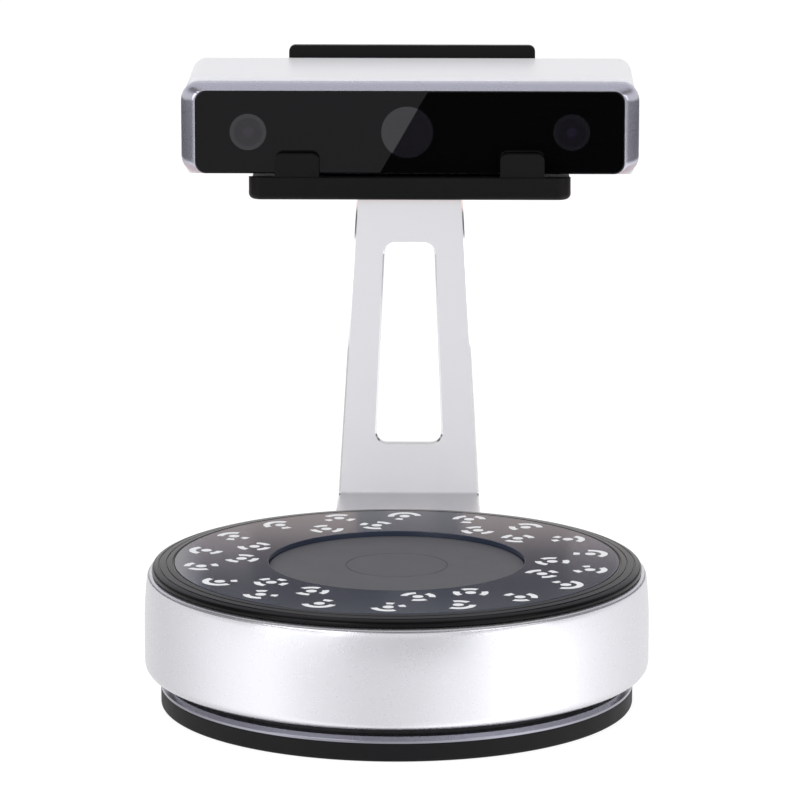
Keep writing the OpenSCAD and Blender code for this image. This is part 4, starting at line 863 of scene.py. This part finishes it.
thicken(inside, faces, (0, 40 * MM, 0))
bezel = carved(bezel, recess, inside)
bmesh.ops.bevel(bezel, geom=sharp_edges(bezel, 50), offset=0.15 * MM, segments=2, profile=0.5, material=-1,
                affect="EDGES", clamp_overlap=True)
finish_piece("silver_bezel", bezel, [grey_lacquer], "head", ["bezel"])

# ---------------------------------------------------------------- front glass
# A pane of black acrylic, printed from behind except for three round windows before the cameras
# and the projector.
PANE_EDGE = 0.4 * MM
WINDOW_PROUD = 0.02 * MM
WINDOW_DEPTH = 0.5 * MM
WINDOW_STEPS = 64

# Black-backed clear acrylic: nearly black, with a mirror-like face.
black_acrylic = new_finish("black_backed_acrylic", "#060607", 0.0, ior=1.49)[0]

# Coated window over a lens: dark, and more mirror-like than the acrylic round it.
coated = new_finish("coated_window", "#1b1a1f", 0.0, ior=2.1)[0]

# The camera's barrel behind its window: the same glass with a paler inner ring.
inner_ring = new_finish("lens_inner_ring", "#17161b", 0.02, ior=1.95)[0]

# Violet anti-reflection coating in the middle of the lens.
violet = new_finish("violet_lens_coating", "#201c28", 0.02, ior=2.0)[0]

pane = bmesh.new()
faces = rounded_outline(pane, [(point, GLASS_CORNER) for point in frame_corners(
    (glass_size.x, glass_size.z), pane_low.y, optics_z)])
thicken(pane, faces, (0, GLASS_DEPTH, 0))
bmesh.ops.bevel(pane, geom=sharp_edges(pane), offset=PANE_EDGE, segments=3, profile=0.5, material=-1,
                affect="EDGES")
finish_piece("front_pane", pane, [black_acrylic], "head", ["front_glass"])

CAMERA_RINGS = ((8.5 * MM, 0), (6.6 * MM, 1), (2.4 * MM, 2))
PROJECTOR_RINGS = ((12 * MM, 0),)
PROJECTOR_ASIDE = -1.2 * MM
lens_low, lens_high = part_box("right_lens")
camera_offset = (lens_low.x + lens_high.x) / 2
for name, offset, rings in (("left_camera_window", -camera_offset, CAMERA_RINGS),
                            ("projector_window", PROJECTOR_ASIDE, PROJECTOR_RINGS),
                            ("right_camera_window", camera_offset, CAMERA_RINGS)):
    window = bmesh.new()
    for layer, (radius, finish) in enumerate(rings):
        disc_y = pane_low.y - WINDOW_PROUD * (1 + layer)
        rim = [window.verts.new((offset + radius * math.cos(a), disc_y, optics_z + radius * math.sin(a)))
               for a in (2 * math.pi * i / WINDOW_STEPS for i in range(WINDOW_STEPS))]
        face = window.faces.new(rim)
        face.material_index = finish
        grown = bmesh.ops.extrude_face_region(window, geom=[face])["geom"]
        bmesh.ops.translate(window, vec=(0, WINDOW_DEPTH, 0),
                            verts=[part for part in grown if isinstance(part, bmesh.types.BMVert)])
    finish_piece(name, window, [coated, inner_ring, violet], "head")

# ---------------------------------------------------------------- small fittings
# Pads, screws, sockets, the button, and the works inside keep the shapes that they are made in,
# and each gets the finish of its own stuff.

# Zinc-plated steel screws: grey, half-bright metal.
zinc, zinc_shader = new_finish("zinc_plated_steel", "#9b9ba1", 0.35, metallic=1.0)
add_grain(zinc, zinc_shader, size=0.5 * MM, depth=0.006 * MM, spread=0.08)

# Ground bearing steel: bright and smooth.
bearing_steel, bearing_steel_shader = new_finish("ground_bearing_steel", "#c4c4c8", 0.15, metallic=1.0)
add_grain(bearing_steel, bearing_steel_shader, size=0.6 * MM, depth=0.002 * MM, spread=0.04)

# Turned or milled aluminium: pale metal with fine tool marks.
milled, milled_shader = new_finish("milled_aluminium", "#bcbcc1", 0.3, metallic=1.0)
add_grain(milled, milled_shader, size=0.4 * MM, depth=0.008 * MM, spread=0.06)

# Machined brass: yellow metal with a light tarnish.
brass, brass_shader = new_finish("machined_brass", "#c8a052", 0.28, metallic=1.0)
add_grain(brass, brass_shader, size=0.8 * MM, depth=0.006 * MM, spread=0.08)

# Natural acetal: the milky white of an uncoloured gear.
acetal, acetal_shader = new_finish("natural_acetal", "#e6e2d6", 0.4)
add_grain(acetal, acetal_shader, size=0.8 * MM, depth=0.008 * MM, spread=0.05)

# Glass-fibre board under green solder mask: glossy, with fine tracks that show as darker patches.
solder_mask, solder_mask_shader = new_finish("green_solder_mask", "#1c5a38", 0.3)
add_grain(solder_mask, solder_mask_shader, size=2 * MM, depth=0.02 * MM, spread=0.06)

# Coated lens glass: dark, with a violet cast from the coating.
lens_coating, lens_coating_shader = new_finish("coated_lens_glass", "#2a2740", 0.03, ior=1.6)
add_grain(lens_coating, lens_coating_shader, size=10 * MM, depth=0.002 * MM, strength=0.1)

FITTINGS = {
    rubber: ("arm_pads", "hook_pads", "cradle_pads"),
    black_abs: ("base_tray", "base_socket", "power_socket", "link_socket", "button_switch", "fan_frame",
                "fan_rotor", "left_camera", "right_camera", "projector", "deck"),
    zinc: ("base_screws", "deck_screws", "motor_screws", "control_board_screws", "platter_screws",
           "spindle_clip", "arm_foot_screws", "arm_top_screws", "frame_screws", "fan_screws",
           "head_board_screws", "usb_socket", "motor"),
    bearing_steel: ("outer_race", "inner_race", "bearing_balls", "motor_shaft"),
    milled: ("spindle", "optics_frame", "heat_sink", "power_button"),
    brass: ("pinion", "tripod_insert"),
    acetal: ("platter_gear",),
    solder_mask: ("control_board", "main_board", "side_board"),
    lens_coating: ("left_lens", "right_lens", "projector_lens"),
}
for finish, names in FITTINGS.items():
    for name in names:
        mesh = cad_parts[name].data
        mesh.materials.clear()
        mesh.materials.append(finish)
